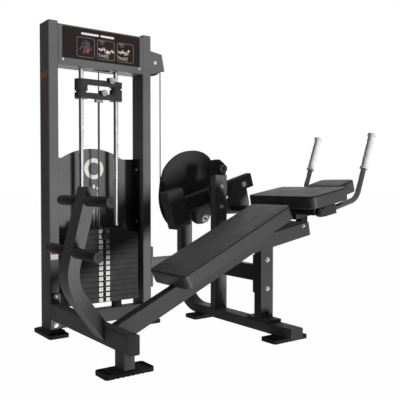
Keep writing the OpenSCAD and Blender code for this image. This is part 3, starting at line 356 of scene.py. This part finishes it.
def stroke(x0, z0, x1, z1, width, y):
    """A flat printed stroke with round ends, from point to point on a face that looks to the front."""
    run = math.hypot(x1 - x0, z1 - z0)
    made = rounded_block((0, 0, 0), (run + width, ink_high, width), "y", width * 0.49, 5)
    made.rotation_euler = (0, -math.atan2(z1 - z0, x1 - x0), 0)
    made.location = at((x0 + x1) / 2, y - ink_high / 2, (z0 + z1) / 2)
    bpy.ops.object.transform_apply(location=True, rotation=True)
    return made


def line_frame(x0, x1, z0, z1, radius, width, y):
    """A printed frame line with round corners on a face that looks to the front."""
    bpy.ops.object.select_all(action="DESELECT")
    bpy.ops.mesh.primitive_plane_add(size=1, rotation=(math.radians(90), 0, 0))
    made = bpy.context.object
    made.scale = ((x1 - x0) / 1000, (z1 - z0) / 1000, 1)
    made.location = at((x0 + x1) / 2, y, (z0 + z1) / 2)
    bpy.ops.object.transform_apply(location=True, rotation=True, scale=True)
    pick(made, "VERT", lambda place: True)
    bpy.ops.mesh.bevel(offset=radius / 1000, segments=6, affect="VERTICES")
    pick(made, "FACE", lambda middle, normal: True)
    bpy.ops.mesh.inset(thickness=width / 1000)
    bpy.ops.mesh.delete(type="FACE")
    leave()
    apply(made, "SOLIDIFY", thickness=ink_high / 1000, offset=1)
    return made


def ink(name, dark, light):
    """Thick screen ink: dull, with the faint unevenness of a print."""
    made, tree, skin, coords = new_finish(name, Roughness=0.6, Specular_IOR_Level=0.15)
    cloud = mottle(tree, skin, coords, 12, dark, light)
    roughen(tree, skin, cloud, 0.05, 0.3)
    return made


sheet_print, tree, skin, coords = new_finish("printed_plastic_sheet", Roughness=0.5, Specular_IOR_Level=0.1)
cloud = mottle(tree, skin, coords, 90, "201917", "251e1c")
roughen(tree, skin, cloud, 0.1, 0.1)
dress(sheet_print, "placard")

line_ink = ink("brown_grey_ink", "7c706b", "8a7e78")
white_ink = ink("white_ink", "e6e4e0", "f2f0ec")
grey_ink = ink("grey_ink", "7e7b76", "93908a")
dark_ink = ink("slate_ink", "45484b", "55585b")
red_ink = ink("red_ink", "b83a36", "c84440")
print_y = -2
sign_left, sign_wide, sign_step = 146, 98, 112.5
sign_low, sign_high = 1385, 1484
sign_round, sign_line = 11, 2.6
frames = [line_frame(x0, x0 + sign_wide, sign_low, sign_high, sign_round, sign_line, print_y)
          for x0 in (sign_left, sign_left + sign_step, sign_left + 2 * sign_step)]
settle(joined(frames), "placard_frames", "frame", line_ink)

# a bent figure of plain strokes, each from x0, z0 to x1, z1 in a width: it lies back in one sign
# and is curled up in the next
legs = ((269, 1437, 279, 1429, 7), (279, 1429, 292, 1444, 9), (292, 1444, 305, 1427, 10))
lying_back = ((305, 1427, 327, 1424, 14), (327, 1424, 341, 1438, 7), (341, 1438, 349, 1429, 8))
curled_up = ((305, 1427, 320, 1436, 13), (320, 1436, 329, 1449, 9))
figure_step = 112
figures = [stroke(x0 + shift, z0, x1 + shift, z1, width, print_y)
           for shift, figure in ((0, legs + lying_back), (figure_step, legs + curled_up))
           for x0, z0, x1, z1, width in figure]
title_z, title_wide = 1502, 11
title_bars = [stroke(x0, title_z, x1, title_z, title_wide, print_y) for x0, x1 in ((176, 262), (282, 349))]
settle(joined(figures + title_bars), "placard_figures", "frame", white_ink)

# the strokes of a sign's bench overlap, so each lies a layer higher than the one before
bench_strokes = ((267, 1411, 287, 1403, 8), (287, 1403, 318, 1409, 11), (272, 1401, 312, 1397, 6),
                 (318, 1409, 318, 1393, 4), (272, 1477, 298, 1473, 5))
layer_high = 0.3
benches = [stroke(x0 + shift, z0, x1 + shift, z1, width, print_y - layer_high * layer)
           for shift in (0, sign_step)
           for layer, (x0, z0, x1, z1, width) in enumerate(bench_strokes)]
settle(joined(benches), "placard_machines", "frame", grey_ink)
torso = [stroke(*line, print_y) for line in (
    (181, 1452, 209, 1456, 15), (187, 1440, 207, 1438, 18), (165, 1424, 180, 1444, 9),
    (224, 1424, 214, 1446, 9), (196, 1462, 196, 1466, 12), (184, 1406, 190, 1428, 11),
    (276, 1466, 292, 1463, 8), (388, 1466, 404, 1463, 8))]
settle(joined(torso), "placard_bodies", "frame", dark_ink)
marks = [stroke(*line, print_y - ink_high) for line in (
    (204, 1414, 208, 1422, 16), (311, 1436, 318, 1436, 5), (322, 1417, 334, 1418, 4),
    (430, 1424, 437, 1428, 5))]
settle(joined(marks), "placard_marks", "frame", red_ink)

# Upright patch. A plain orange sticker of vinyl film on the left upright's outer side, with a column
# of plain brown bars beneath it, in three lengths by turns.
film_x, film_y, film_thick = -0.15, 63, 0.5
patch_z, patch_long, patch_high = 1288, 94, 28
patch = rounded_block(at(film_x, film_y, patch_z), (film_thick, patch_long, patch_high), "x", 4, 4)
settle(patch, "upright_patch", "frame", ink("orange_film", "d9822a", "e28d36"))
bars_top, bar_step, bar_count = 1262, 16, 13
bar_long, bar_less, bar_high = 70, 20, 7
bars = [rounded_block(at(film_x, film_y, bars_top - bar_step * row),
                      (film_thick, bar_long - bar_less * (row % 3), bar_high), "x", 2)
        for row in range(bar_count)]
settle(joined(bars), "upright_bars", "frame", ink("brown_film", "8a6238", "946c42"))

# Upright label. A plain white sticker of vinyl film with a red band, on the left upright's front,
# stuck on above the base beam.
label_x, label_round = 23, 2
for name, z, size, film in (
    ("upright_label", 396, (38, 0.4, 36), white_ink),
    ("upright_label_band", 408, (34, 0.8, 9), red_ink),
):
    sticker = rounded_block(at(label_x, -size[1] / 2, z), size, "y", label_round)
    settle(sticker, name, "frame", film)


# Shroud. A bent steel sheet behind the stack, coated like the frame, with a plain ring and stripes
# printed on it in white. Its faces that turn to the left, inside the right-hand bend, are painted near-black
# as painted shade.
def rod(x, y0, y1, z, radius, sides=40):
    """A round bar along the depth, in millimetres."""
    bpy.ops.object.select_all(action="DESELECT")
    bpy.ops.mesh.primitive_cylinder_add(
        vertices=sides, radius=radius / 1000, depth=(y1 - y0) / 1000,
        location=at(x, (y0 + y1) / 2, z), rotation=(math.radians(90), 0, 0))
    made = bpy.context.object
    bpy.ops.object.transform_apply(location=True, rotation=True)
    return made


sheet_coat_painted_shade, tree, skin = powder_coat("graphite_with_painted_shade", *graphite)
# the painted shade starts where the front of the sheet turns to the left; it darkens faces that look left,
# not back
side = add(tree, "SeparateXYZ", Vector=add(tree, "NewGeometry").outputs["Normal"]).outputs
left_turn_shade = add(tree, "MapRange", Value=side["X"], From_Min=-0.18, From_Max=-0.38)
not_facing_back = add(tree, "Math", {"operation": "LESS_THAN"}, _0=side["Y"], _1=0.05)
painted_shade_mask = add(tree, "Math", {"operation": "MULTIPLY"}, _0=left_turn_shade.outputs[0], _1=not_facing_back.outputs[0])
overlay(tree, skin, painted_shade_mask.outputs[0], "121212")
dress(sheet_coat_painted_shade, "shroud")

shroud_y = 127
ring_x, ring_z = 299.5, 830
ring_radius, ring_wide, ring_thick = 56, 22, 0.5
ring = rod(ring_x, shroud_y - ring_thick / 2, shroud_y + ring_thick / 2, ring_z, ring_radius, 64)
pick(ring, "FACE", lambda middle, normal: normal.y < -0.9)
bpy.ops.mesh.inset(thickness=ring_wide / 1000)
bpy.ops.mesh.delete(type="FACE")
leave()
stripe_low, stripe_wide = 522, 13
stripes = [stroke(x, stripe_low, x, top, stripe_wide, shroud_y)
           for x, top in ((276, 728), (298.5, 740), (321, 728))]
settle(joined([ring] + stripes), "shroud_print", "frame", white_ink)

# Guide rods. Ground steel rod with a chrome plate: mirror-like, with fine lengthwise scuffs. The
# carriage's pivot shaft is plated alike.
chrome, tree, skin, coords = new_finish("chrome_plated_steel", Metallic=1)
mottle(tree, skin, coords, 40, "cccccc", "dcdcdc")
# scuffs are finer than a hair: drawn 2.5 mm wide so that they show
stretch = add(tree, "Mapping", Vector=coords, Scale=(1, 1, 0.05))
scuff = add(tree, "TexNoise", Vector=stretch.outputs[0], Scale=1000 / 2.5, Detail=2)
uneven_gloss(tree, skin, scuff.outputs["Fac"], 0.1, 0.26)
dress(chrome, "guide_rods", "pivot_shaft")

# Weight stack. Plates of cast iron under thick black paint, a little grainy, with a white number label
# on each side of the selector hole. Add-on weights and shaft bearings are cast and painted alike.
iron, tree, skin, coords = new_finish("painted_cast_iron", Roughness=0.65, Specular_IOR_Level=0.15)
mottle(tree, skin, coords, 60, "343434", "3d3d3d")
grain(tree, skin, coords, 5, 0.4, 0.5, 3)
dress(iron, "weight_plates", "top_plate", "head_plate", "shaft_bearings", "addon_upper", "addon_lower")

plates, plate_step, plate_half = 13, 27.2, 13.45
head_lift, head_half = 0.3, 12
stack_low, stack_front = 140, -15
label_size = (21.8, 0.6, 19.2)
label_out, digit_out = 0.1, 0.4
label_film = ink("white_label_film", "f0f0ee", "fafaf8")
digit_ink = ink("black_ink", "262626", "303030")
labels = {"frame": [], "stack": []}
digits = {"frame": [], "stack": []}
for step in range(plates + 1):
    half = head_lift + head_half if step == plates else plate_half
    middle = stack_low + plate_step * step + half
    # the uppermost plate lifts with the head plate
    body = "stack" if step >= plates - 1 else "frame"
    count = plates + 1 - step
    for x, number in ((268, 5 * count), (307.2, count)):
        labels[body].append(rounded_block(at(x, stack_front - label_out, middle), label_size, "y", 1.5))
        bpy.ops.object.select_all(action="DESELECT")
        bpy.ops.object.text_add(location=at(x, stack_front - digit_out, middle),
                                rotation=(math.radians(90), 0, 0))
        digit = bpy.context.object
        digit.data.body = str(number)
        digit.data.size = 0.0115
        digit.data.align_x = digit.data.align_y = "CENTER"
        digit.data.extrude = 0.0001
        digit.data.resolution_u = 3
        bpy.ops.object.convert(target="MESH")
        bpy.ops.object.transform_apply(location=True, rotation=True)
        digits[body].append(bpy.context.object)
for body in labels:
    settle(joined(labels[body]), body + "_plate_labels", body, label_film)
    settle(joined(digits[body]), body + "_plate_numbers", body, digit_ink)

# Selector stem. A steel bar, drilled for the selector pin, with a lift rod screwed into its top.
# It is oiled rather than plated: dark grey, with a soft shine.
oiled, tree, skin, coords = new_finish("oiled_steel", Metallic=0.8, Roughness=0.45)
mottle(tree, skin, coords, 25, "4c4c4c", "5a5a5a")
grain(tree, skin, coords, 2, 0.08, 0.4)
dress(oiled, "selector_stem")


# Selector pin. A chrome-plated steel pin, pressed into a round knob of black nylon that is turned
# with a waist and a dished face. It pushes through a plate into the stem.
def round_rims(piece, y, width, segments=3):
    """Rounds the rims of a bar along the depth that lie at some depths."""
    ends = [at(0, d, 0)[1] for d in y]
    pick(piece, "EDGE", lambda middle, way: abs(way.y) < 0.1 and min(abs(middle.y - e) for e in ends) < 1e-5)
    bpy.ops.mesh.bevel(offset=width / 1000, segments=segments, affect="EDGES")
    leave()


def knob(x, y0, y1, z, radius, waist, dish):
    """A turned knob with a waist, rounded rims and a dished face."""
    neck, rim, margin = 2, 2.2, radius * 0.3
    made = rod(x, y0, y1, z, radius)
    front = at(0, y0, 0)[1]
    pick(made, "FACE", lambda middle, normal: normal.y > 0.9)
    bpy.ops.mesh.inset(thickness=(radius - waist) / 1000)
    bpy.ops.mesh.extrude_region_move(TRANSFORM_OT_translate={"value": (0, neck / 1000, 0)})
    pick(made, "FACE", lambda middle, normal: normal.y < -0.9 and abs(middle.y - front) < 1e-5)
    bpy.ops.mesh.inset(thickness=margin / 1000)
    bpy.ops.transform.translate(value=(0, dish / 1000, 0))
    leave()
    round_rims(made, (y0, y1), rim)
    return made


def shank(x, y0, y1, z, radius=5, rim=1.5):
    """A pin along the depth with a rounded far end."""
    made = rod(x, y0, y1, z, radius)
    round_rims(made, (y1,), rim)
    return made


pin_x, pin_z = 288.5, 479.85
pin_knob = knob(pin_x, -41, -18, pin_z, radius=17.5, waist=9, dish=2)
settle(pin_knob, "selector_knob", "selector_pin", nylon)
settle(shank(pin_x, -20, 59, pin_z), "selector_shank", "selector_pin", chrome)
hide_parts("selector_pin")

# Pull knobs. Sprung plungers of zinc-plated steel on the add-on weights, with turned aluminium knobs,
# satin grey with fine turning marks. The cable's fitting on the lift rod is of the same aluminium.
alloy, tree, skin, coords = new_finish("satin_aluminium", Metallic=0.5, Roughness=0.5)
mottle(tree, skin, coords, 15, "848484", "909090")
# turning marks are about 0.2 mm apart: drawn at 1.7 mm so that they show
stretch = add(tree, "Mapping", Vector=coords, Scale=(0.05, 1, 1))
turning = add(tree, "TexNoise", Vector=stretch.outputs[0], Scale=1000 / 1.7)
roughen(tree, skin, turning.outputs["Fac"], 0.1, 0.4)
dress(alloy, "cable_fitting")
for body, x, z in (("pull_lower", 294.5, 1215), ("pull_upper", 338.5, 1281)):
    head = knob(x, -17, -3, z, radius=16.5, waist=8, dish=1.5)
    settle(head, body + "_knob", body, alloy)
    settle(shank(x, -4, 28, z), body + "_shank", body, zinc)
    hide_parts(body)


# Cable. Steel strand in a black nylon sheath through which its lay shows faintly. One run lies over
# the pulleys, one ends in a pressed ferrule on the stack's fitting, and one wraps the cam.
def drawn_up(place, radius, sides, steps):
    """A round piece that rises from a place in steps of a height and a taper."""
    bpy.ops.object.select_all(action="DESELECT")
    bpy.ops.mesh.primitive_circle_add(vertices=sides, radius=radius / 1000, fill_type="NGON", location=place)
    made = bpy.context.object
    bpy.ops.object.transform_apply(location=True)
    pick(made, "FACE", lambda middle, normal: True)
    for height, taper in steps:
        bpy.ops.mesh.extrude_region_move(TRANSFORM_OT_translate={"value": (0, 0, height / 1000)})
        bpy.ops.transform.resize(value=(taper, taper, 1))
    bpy.ops.mesh.select_all(action="SELECT")
    bpy.ops.mesh.normals_make_consistent(inside=False)
    leave()
    return made


sheath, tree, skin, coords = new_finish("nylon_sheathed_cable", Roughness=0.45, Specular_IOR_Level=0.25)
mottle(tree, skin, coords, 12, "262626", "323232")
# this wave repeats every 628 mm divided by its scale: some 10 mm along an upright cable
lay = add(tree, "TexWave", {"bands_direction": "DIAGONAL"}, Vector=coords, Scale=60, Distortion=1)
roughen(tree, skin, lay.outputs["Fac"], 0.2, 0.4)
dress(sheath, "main_cable")

cable_radius, cable_sides = 3, 20
hanging = drawn_up(at(288.5, 45, 1190), cable_radius, cable_sides, ((4, 1), (113, 1), (113, 1)))
settle(hanging, "stack_rope", "stack", sheath)
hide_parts("stack_cable")
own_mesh(hanging)

ferrule = drawn_up(at(288.5, 45, 1189), 8.5, 24, ((10, 1), (3, 0.7), (16, 1), (3, 0.75)))
settle(ferrule, "cable_ferrule", "stack", zinc)

wrap_turn = 38
bpy.ops.object.select_all(action="DESELECT")
bpy.ops.mesh.primitive_circle_add(vertices=cable_sides, radius=cable_radius / 1000, location=at(664, 45, 681))
wrap = bpy.context.object
bpy.ops.object.transform_apply(location=True)
pick(wrap, "EDGE", lambda middle, way: True)
bpy.ops.mesh.spin(steps=24, angle=math.radians(wrap_turn), center=at(897, 45, 681), axis=(0, -1, 0))
bpy.ops.mesh.select_all(action="SELECT")
bpy.ops.mesh.remove_doubles(threshold=1e-6)
bpy.ops.mesh.fill_holes(sides=0)
bpy.ops.mesh.normals_make_consistent(inside=False)
leave()
settle(wrap, "cam_rope", None, sheath)
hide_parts("cam_cable")
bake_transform(wrap)

# Foot rollers. Sleeves of dense black foam with rounded ends, dull and finely pored, that turn on
# steel axles. Grey plastic discs hold them, with a screw at each end.
foam, tree, skin, coords = new_finish("dense_black_foam", Roughness=0.75, Specular_IOR_Level=0.15)
mottle(tree, skin, coords, 30, "212121", "292929")
# pores are under 1 mm wide: drawn at 2.5 mm so that they show
pores = add(tree, "TexVoronoi", Vector=coords, Scale=1000 / 2.5)
roughen(tree, skin, pores.outputs["Distance"], 0.3, 0.4)
disc_nylon, tree, skin, coords = new_finish("grey_nylon", Roughness=0.6, Specular_IOR_Level=0.15)
cloud = mottle(tree, skin, coords, 15, "3a3a3a", "424242")
roughen(tree, skin, cloud, 0.1, 0.3)

roller_radius, roller_wall = 21.5, 12
disc_radius, disc_thick = 20.5, 3
screw_radius, screw_seat, screw_end = 5.5, 2, 6.5
axle_radius = 8
axles = ((-72, 680), (-125, 475))
near_end, far_end = -775, -317
sleeves = ((-774.5, -580.5), (-487.5, -317.5))
rollers = [(x, z, y0, y1) for x, z in axles for y0, y1 in sleeves]
for number, (x, z, y0, y1) in enumerate(rollers, 1):
    roll = rod(x, y0, y1, z, roller_radius, 48)
    pick(roll, "FACE", lambda middle, normal: abs(normal.y) > 0.9)
    bpy.ops.mesh.inset(thickness=roller_wall / 1000, use_individual=True)
    leave()
    round_rims(roll, (y0, y1), 2.5, 4)
    settle(roll, f"foam_roller_{number}", f"roller_{number}", foam)
    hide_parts(f"roller_{number}")
discs, screws = [], []
for x, z in axles:
    for y, out in ((near_end, -1), (far_end, 1)):
        y0, y1 = sorted((y, y + disc_thick * out))
        disc = rod(x, y0, y1, z, disc_radius, 48)
        round_rims(disc, (y0, y1), 0.8, 2)
        discs.append(disc)
        y0, y1 = sorted((y + screw_seat * out, y + screw_end * out))
        screw = rod(x, y0, y1, z, screw_radius, 24)
        round_rims(screw, (y0, y1), 1, 2)
        screws.append(screw)
    discs.append(rod(x, near_end, far_end, z, axle_radius, 24))
caps = settle(joined(discs), "roller_discs", "frame", disc_nylon)
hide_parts("roller_axles")
settle(joined(screws), "roller_screws", "frame", nylon)

# Cam. Two cheeks cut from steel plate, coated almost black, with two round bumpers of bright white
# plastic, each sunk at its middle and held by a dark screw.
white, tree, skin, coords = new_finish("moulded_white_plastic", Roughness=0.3, Specular_IOR_Level=0.5)
cloud = mottle(tree, skin, coords, 20, "f2f2f0", "fafaf8")
roughen(tree, skin, cloud, 0.1, 0.2)
bumper_radius, bumper_wall, bumper_sink = 23, 11, 6
bumper_front, bumper_back = 20, 36
screw_front, screw_back = 18, 27
rings, screws = [], []
for x, z in ((1101, 842), (964, 547)):
    ring = rod(x, bumper_front, bumper_back, z, bumper_radius, 48)
    pick(ring, "FACE", lambda middle, normal: normal.y < -0.9)
    bpy.ops.mesh.inset(thickness=bumper_wall / 1000)
    bpy.ops.mesh.extrude_region_move(TRANSFORM_OT_translate={"value": (0, bumper_sink / 1000, 0)})
    leave()
    round_rims(ring, (bumper_front,), 2.5, 3)
    rings.append(ring)
    screw = rod(x, screw_front, screw_back, z, 8, 24)
    round_rims(screw, (screw_front,), 2, 2)
    screws.append(screw)
bumpers = settle(joined(rings), "cam_bumper_rings", "carriage", white)
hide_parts("cam_bumpers")
settle(joined(screws), "cam_bumper_screws", "carriage", nylon)

# Handles and grips. Two bent steel tubes under a smooth black powder coat that shines, with ribbed
# sleeves of pale thermoplastic rubber, half glossy, pushed on to them.
dress(powder_coat("glossy_powder_coat", "1c1c1c", "222222", 0.8)[0], "handles")
sleeve, tree, skin, coords = new_finish("ribbed_pale_sleeve", Roughness=0.4, Specular_IOR_Level=0.5)
mottle(tree, skin, coords, 18, "f0f0f0", "fafafa")
grain(tree, skin, coords, 2, 0.2, 0.4)
dress(sleeve, "grips")

# Pads. Foam on a plywood board, in a boxed cover of black grained vinyl, half glossy: a flat top panel
# sewn to a side band with a thin piping, drawn tight and stapled under the board. A dull woven cloth
# keeps the dust out from below.
vinyl, tree, skin, coords = new_finish("grained_vinyl", Specular_IOR_Level=0.5)
cloud = mottle(tree, skin, coords, 70, "222222", "292929")
# leather grain is about 1.5 mm wide: drawn at 4 mm so that it shows
leather = add(tree, "TexVoronoi", {"feature": "SMOOTH_F1"}, Vector=coords, Scale=1000 / 4)
roughen(tree, skin, leather.outputs["Distance"], 0.4, 0.4)
uneven_gloss(tree, skin, cloud, 0.48, 0.58)

seam_vinyl, tree, skin, coords = new_finish("piping_vinyl", Roughness=0.6, Specular_IOR_Level=0.15)
cloud = mottle(tree, skin, coords, 20, "0c0c0c", "121212")
roughen(tree, skin, cloud, 0.2, 0.3)

dust_cloth, tree, skin, coords = new_finish("woven_dust_cloth", Roughness=0.9, Specular_IOR_Level=0.1)
mottle(tree, skin, coords, 40, "161616", "1e1e1e")
# threads are about 0.5 mm apart: drawn at 2 mm so that they show
weave = add(tree, "TexChecker", Vector=coords, Scale=1000 / 2)
roughen(tree, skin, weave.outputs["Fac"], 0.2, 0.5)

swell, swell_room, swell_frames = 5, 1, 20
rim_round = 3
seam_below, seam_draw, seam_reach = 5, 2, 24
piping_radius, piping_below = 1.8, 5.5
hem, hem_round = 22, 16
cloth_low, cloth_high = -1.2, 0.6


def rounded_slab(length, width, low, high, radius):
    """A flat slab with round corners that starts at its low end, in millimetres in its own plane."""
    middle = (length / 2000, 0, (low + high) / 2000)
    return rounded_block(middle, (length, width, high - low), "z", radius, 6)


def blow_up(pad, still_below):
    """Lets the cover swell on its foam, with its sides held, and caps how far it goes."""
    start = [vertex.co.copy() for vertex in pad.data.vertices]
    held = pad.vertex_groups.new(name="stapled")
    held.add([i for i, place in enumerate(start) if place.z < still_below], 1, "REPLACE")
    cloth = pad.modifiers.new("cover", "CLOTH")
    cloth.settings.use_pressure = True
    cloth.settings.uniform_pressure_force = 4
    cloth.settings.vertex_group_mass = "stapled"
    cloth.settings.effector_weights.gravity = 0
    scene = bpy.context.scene
    for number in range(1, swell_frames + 1):
        scene.frame_set(number)
    swollen = pad.evaluated_get(bpy.context.evaluated_depsgraph_get()).data
    ends = [vertex.co.copy() for vertex in swollen.vertices]
    pad.modifiers.remove(cloth)
    scene.frame_set(1)
    furthest = max((end - place).length for place, end in zip(start, ends))
    for vertex, place, end in zip(pad.data.vertices, start, ends):
        vertex.co = place + (end - place) * min(1, swell / 1000 / furthest)
    pad.vertex_groups.clear()


def draw_in(pad, length, width, top):
    """Draws the cover in along the seam under its top panel."""
    below, draw = seam_below / 1000, seam_draw / 1000
    for vertex in pad.data.vertices:
        near = max(0, 1 - abs(vertex.co.z - (top - below)) / below)
        along, across = (vertex.co.x / (length / 1000) - 0.5) * 2, vertex.co.y / (width / 2000)
        if max(abs(along), abs(across)) > 0.9 and near > 0:
            vertex.co.x -= math.copysign(draw * near, along) * (abs(along) > 1 - seam_reach / length)
            vertex.co.y -= math.copysign(draw * near, across) * (abs(across) > 1 - seam_reach / width)


def piping(pad, length, width, thick, radius):
    """A thin cord that follows the cover under the rim of its top panel."""
    cord = rounded_slab(length, width, thick - piping_below - 1, thick - piping_below, radius)
    pick(cord, "FACE", lambda middle, normal: normal.z < 0.5)
    bpy.ops.mesh.delete(type="FACE")
    pick(cord, "FACE", lambda middle, normal: True)
    bpy.ops.mesh.delete(type="ONLY_FACE")
    pick(cord, "EDGE", lambda middle, way: True)
    bpy.ops.mesh.subdivide(number_cuts=12)
    leave()
    apply(cord, "SHRINKWRAP", target=pad, wrap_method="NEAREST_SURFACEPOINT", offset=0)
    bpy.ops.object.convert(target="CURVE")
    cord.data.bevel_depth = piping_radius / 1000
    cord.data.bevel_resolution = 2
    bpy.ops.object.convert(target="MESH")
    return cord


def upholstered(name, body, nodes, top_edge, slope, length, width, thick, radius, centre_y):
    """A pad on its slope, by the middle of its top's low edge, with piping and a dust cloth."""
    lean = math.radians(slope)
    place = at(top_edge[0] + thick * math.sin(lean), centre_y, top_edge[1] - thick * math.cos(lean))
    # the cover starts a little low, because it swells
    pad = rounded_slab(length, width, 0, thick - swell_room, radius)
    top = (thick - swell_room) / 1000
    pick(pad, "EDGE", lambda middle, way: abs(way.z) < 0.1)
    bpy.ops.mesh.bevel(offset=rim_round / 1000, segments=2, affect="EDGES")
    leave()
    # the long pad has a coarser mesh, so that it stays under 200,000 triangles
    apply(pad, "REMESH", mode="VOXEL", voxel_size=0.005 if length > 500 else 0.004)
    blow_up(pad, top - rim_round / 1000)
    draw_in(pad, length, width, top)
    apply(pad, "SUBSURF", levels=1, render_levels=1)
    cord = piping(pad, length, width, thick, radius)
    under = rounded_slab(length - 2 * hem, width - 2 * hem, cloth_low, cloth_high, radius - hem_round)
    under.location.x += hem / 1000
    for piece, tag, cover in (
        (pad, "", vinyl), (cord, "_piping", seam_vinyl), (under, "_dust_cloth", dust_cloth),
    ):
        choose(piece)
        bpy.ops.object.transform_apply(location=True)
        piece.rotation_euler = (0, -lean, 0)
        piece.location = place
        settle(piece, name + tag, body, cover, 60)
    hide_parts(*nodes)


upholstered("bench_cushion", "frame", ("bench_pad", "bench_board"), top_edge=(313.3, 354.4), slope=25,
            length=697, width=286, thick=72, radius=24, centre_y=-552)
upholstered("upper_cushion", "carriage", ("upper_pad", "carriage_boards"), top_edge=(999.4, 689.8),
            slope=10.2, length=264, width=480, thick=66, radius=30, centre_y=-547)
upholstered("head_cushion", "carriage", ("head_pad", "carriage_boards"), top_edge=(1321, 739.7),
            slope=15.2, length=138, width=240, thick=66, radius=28, centre_y=-547)
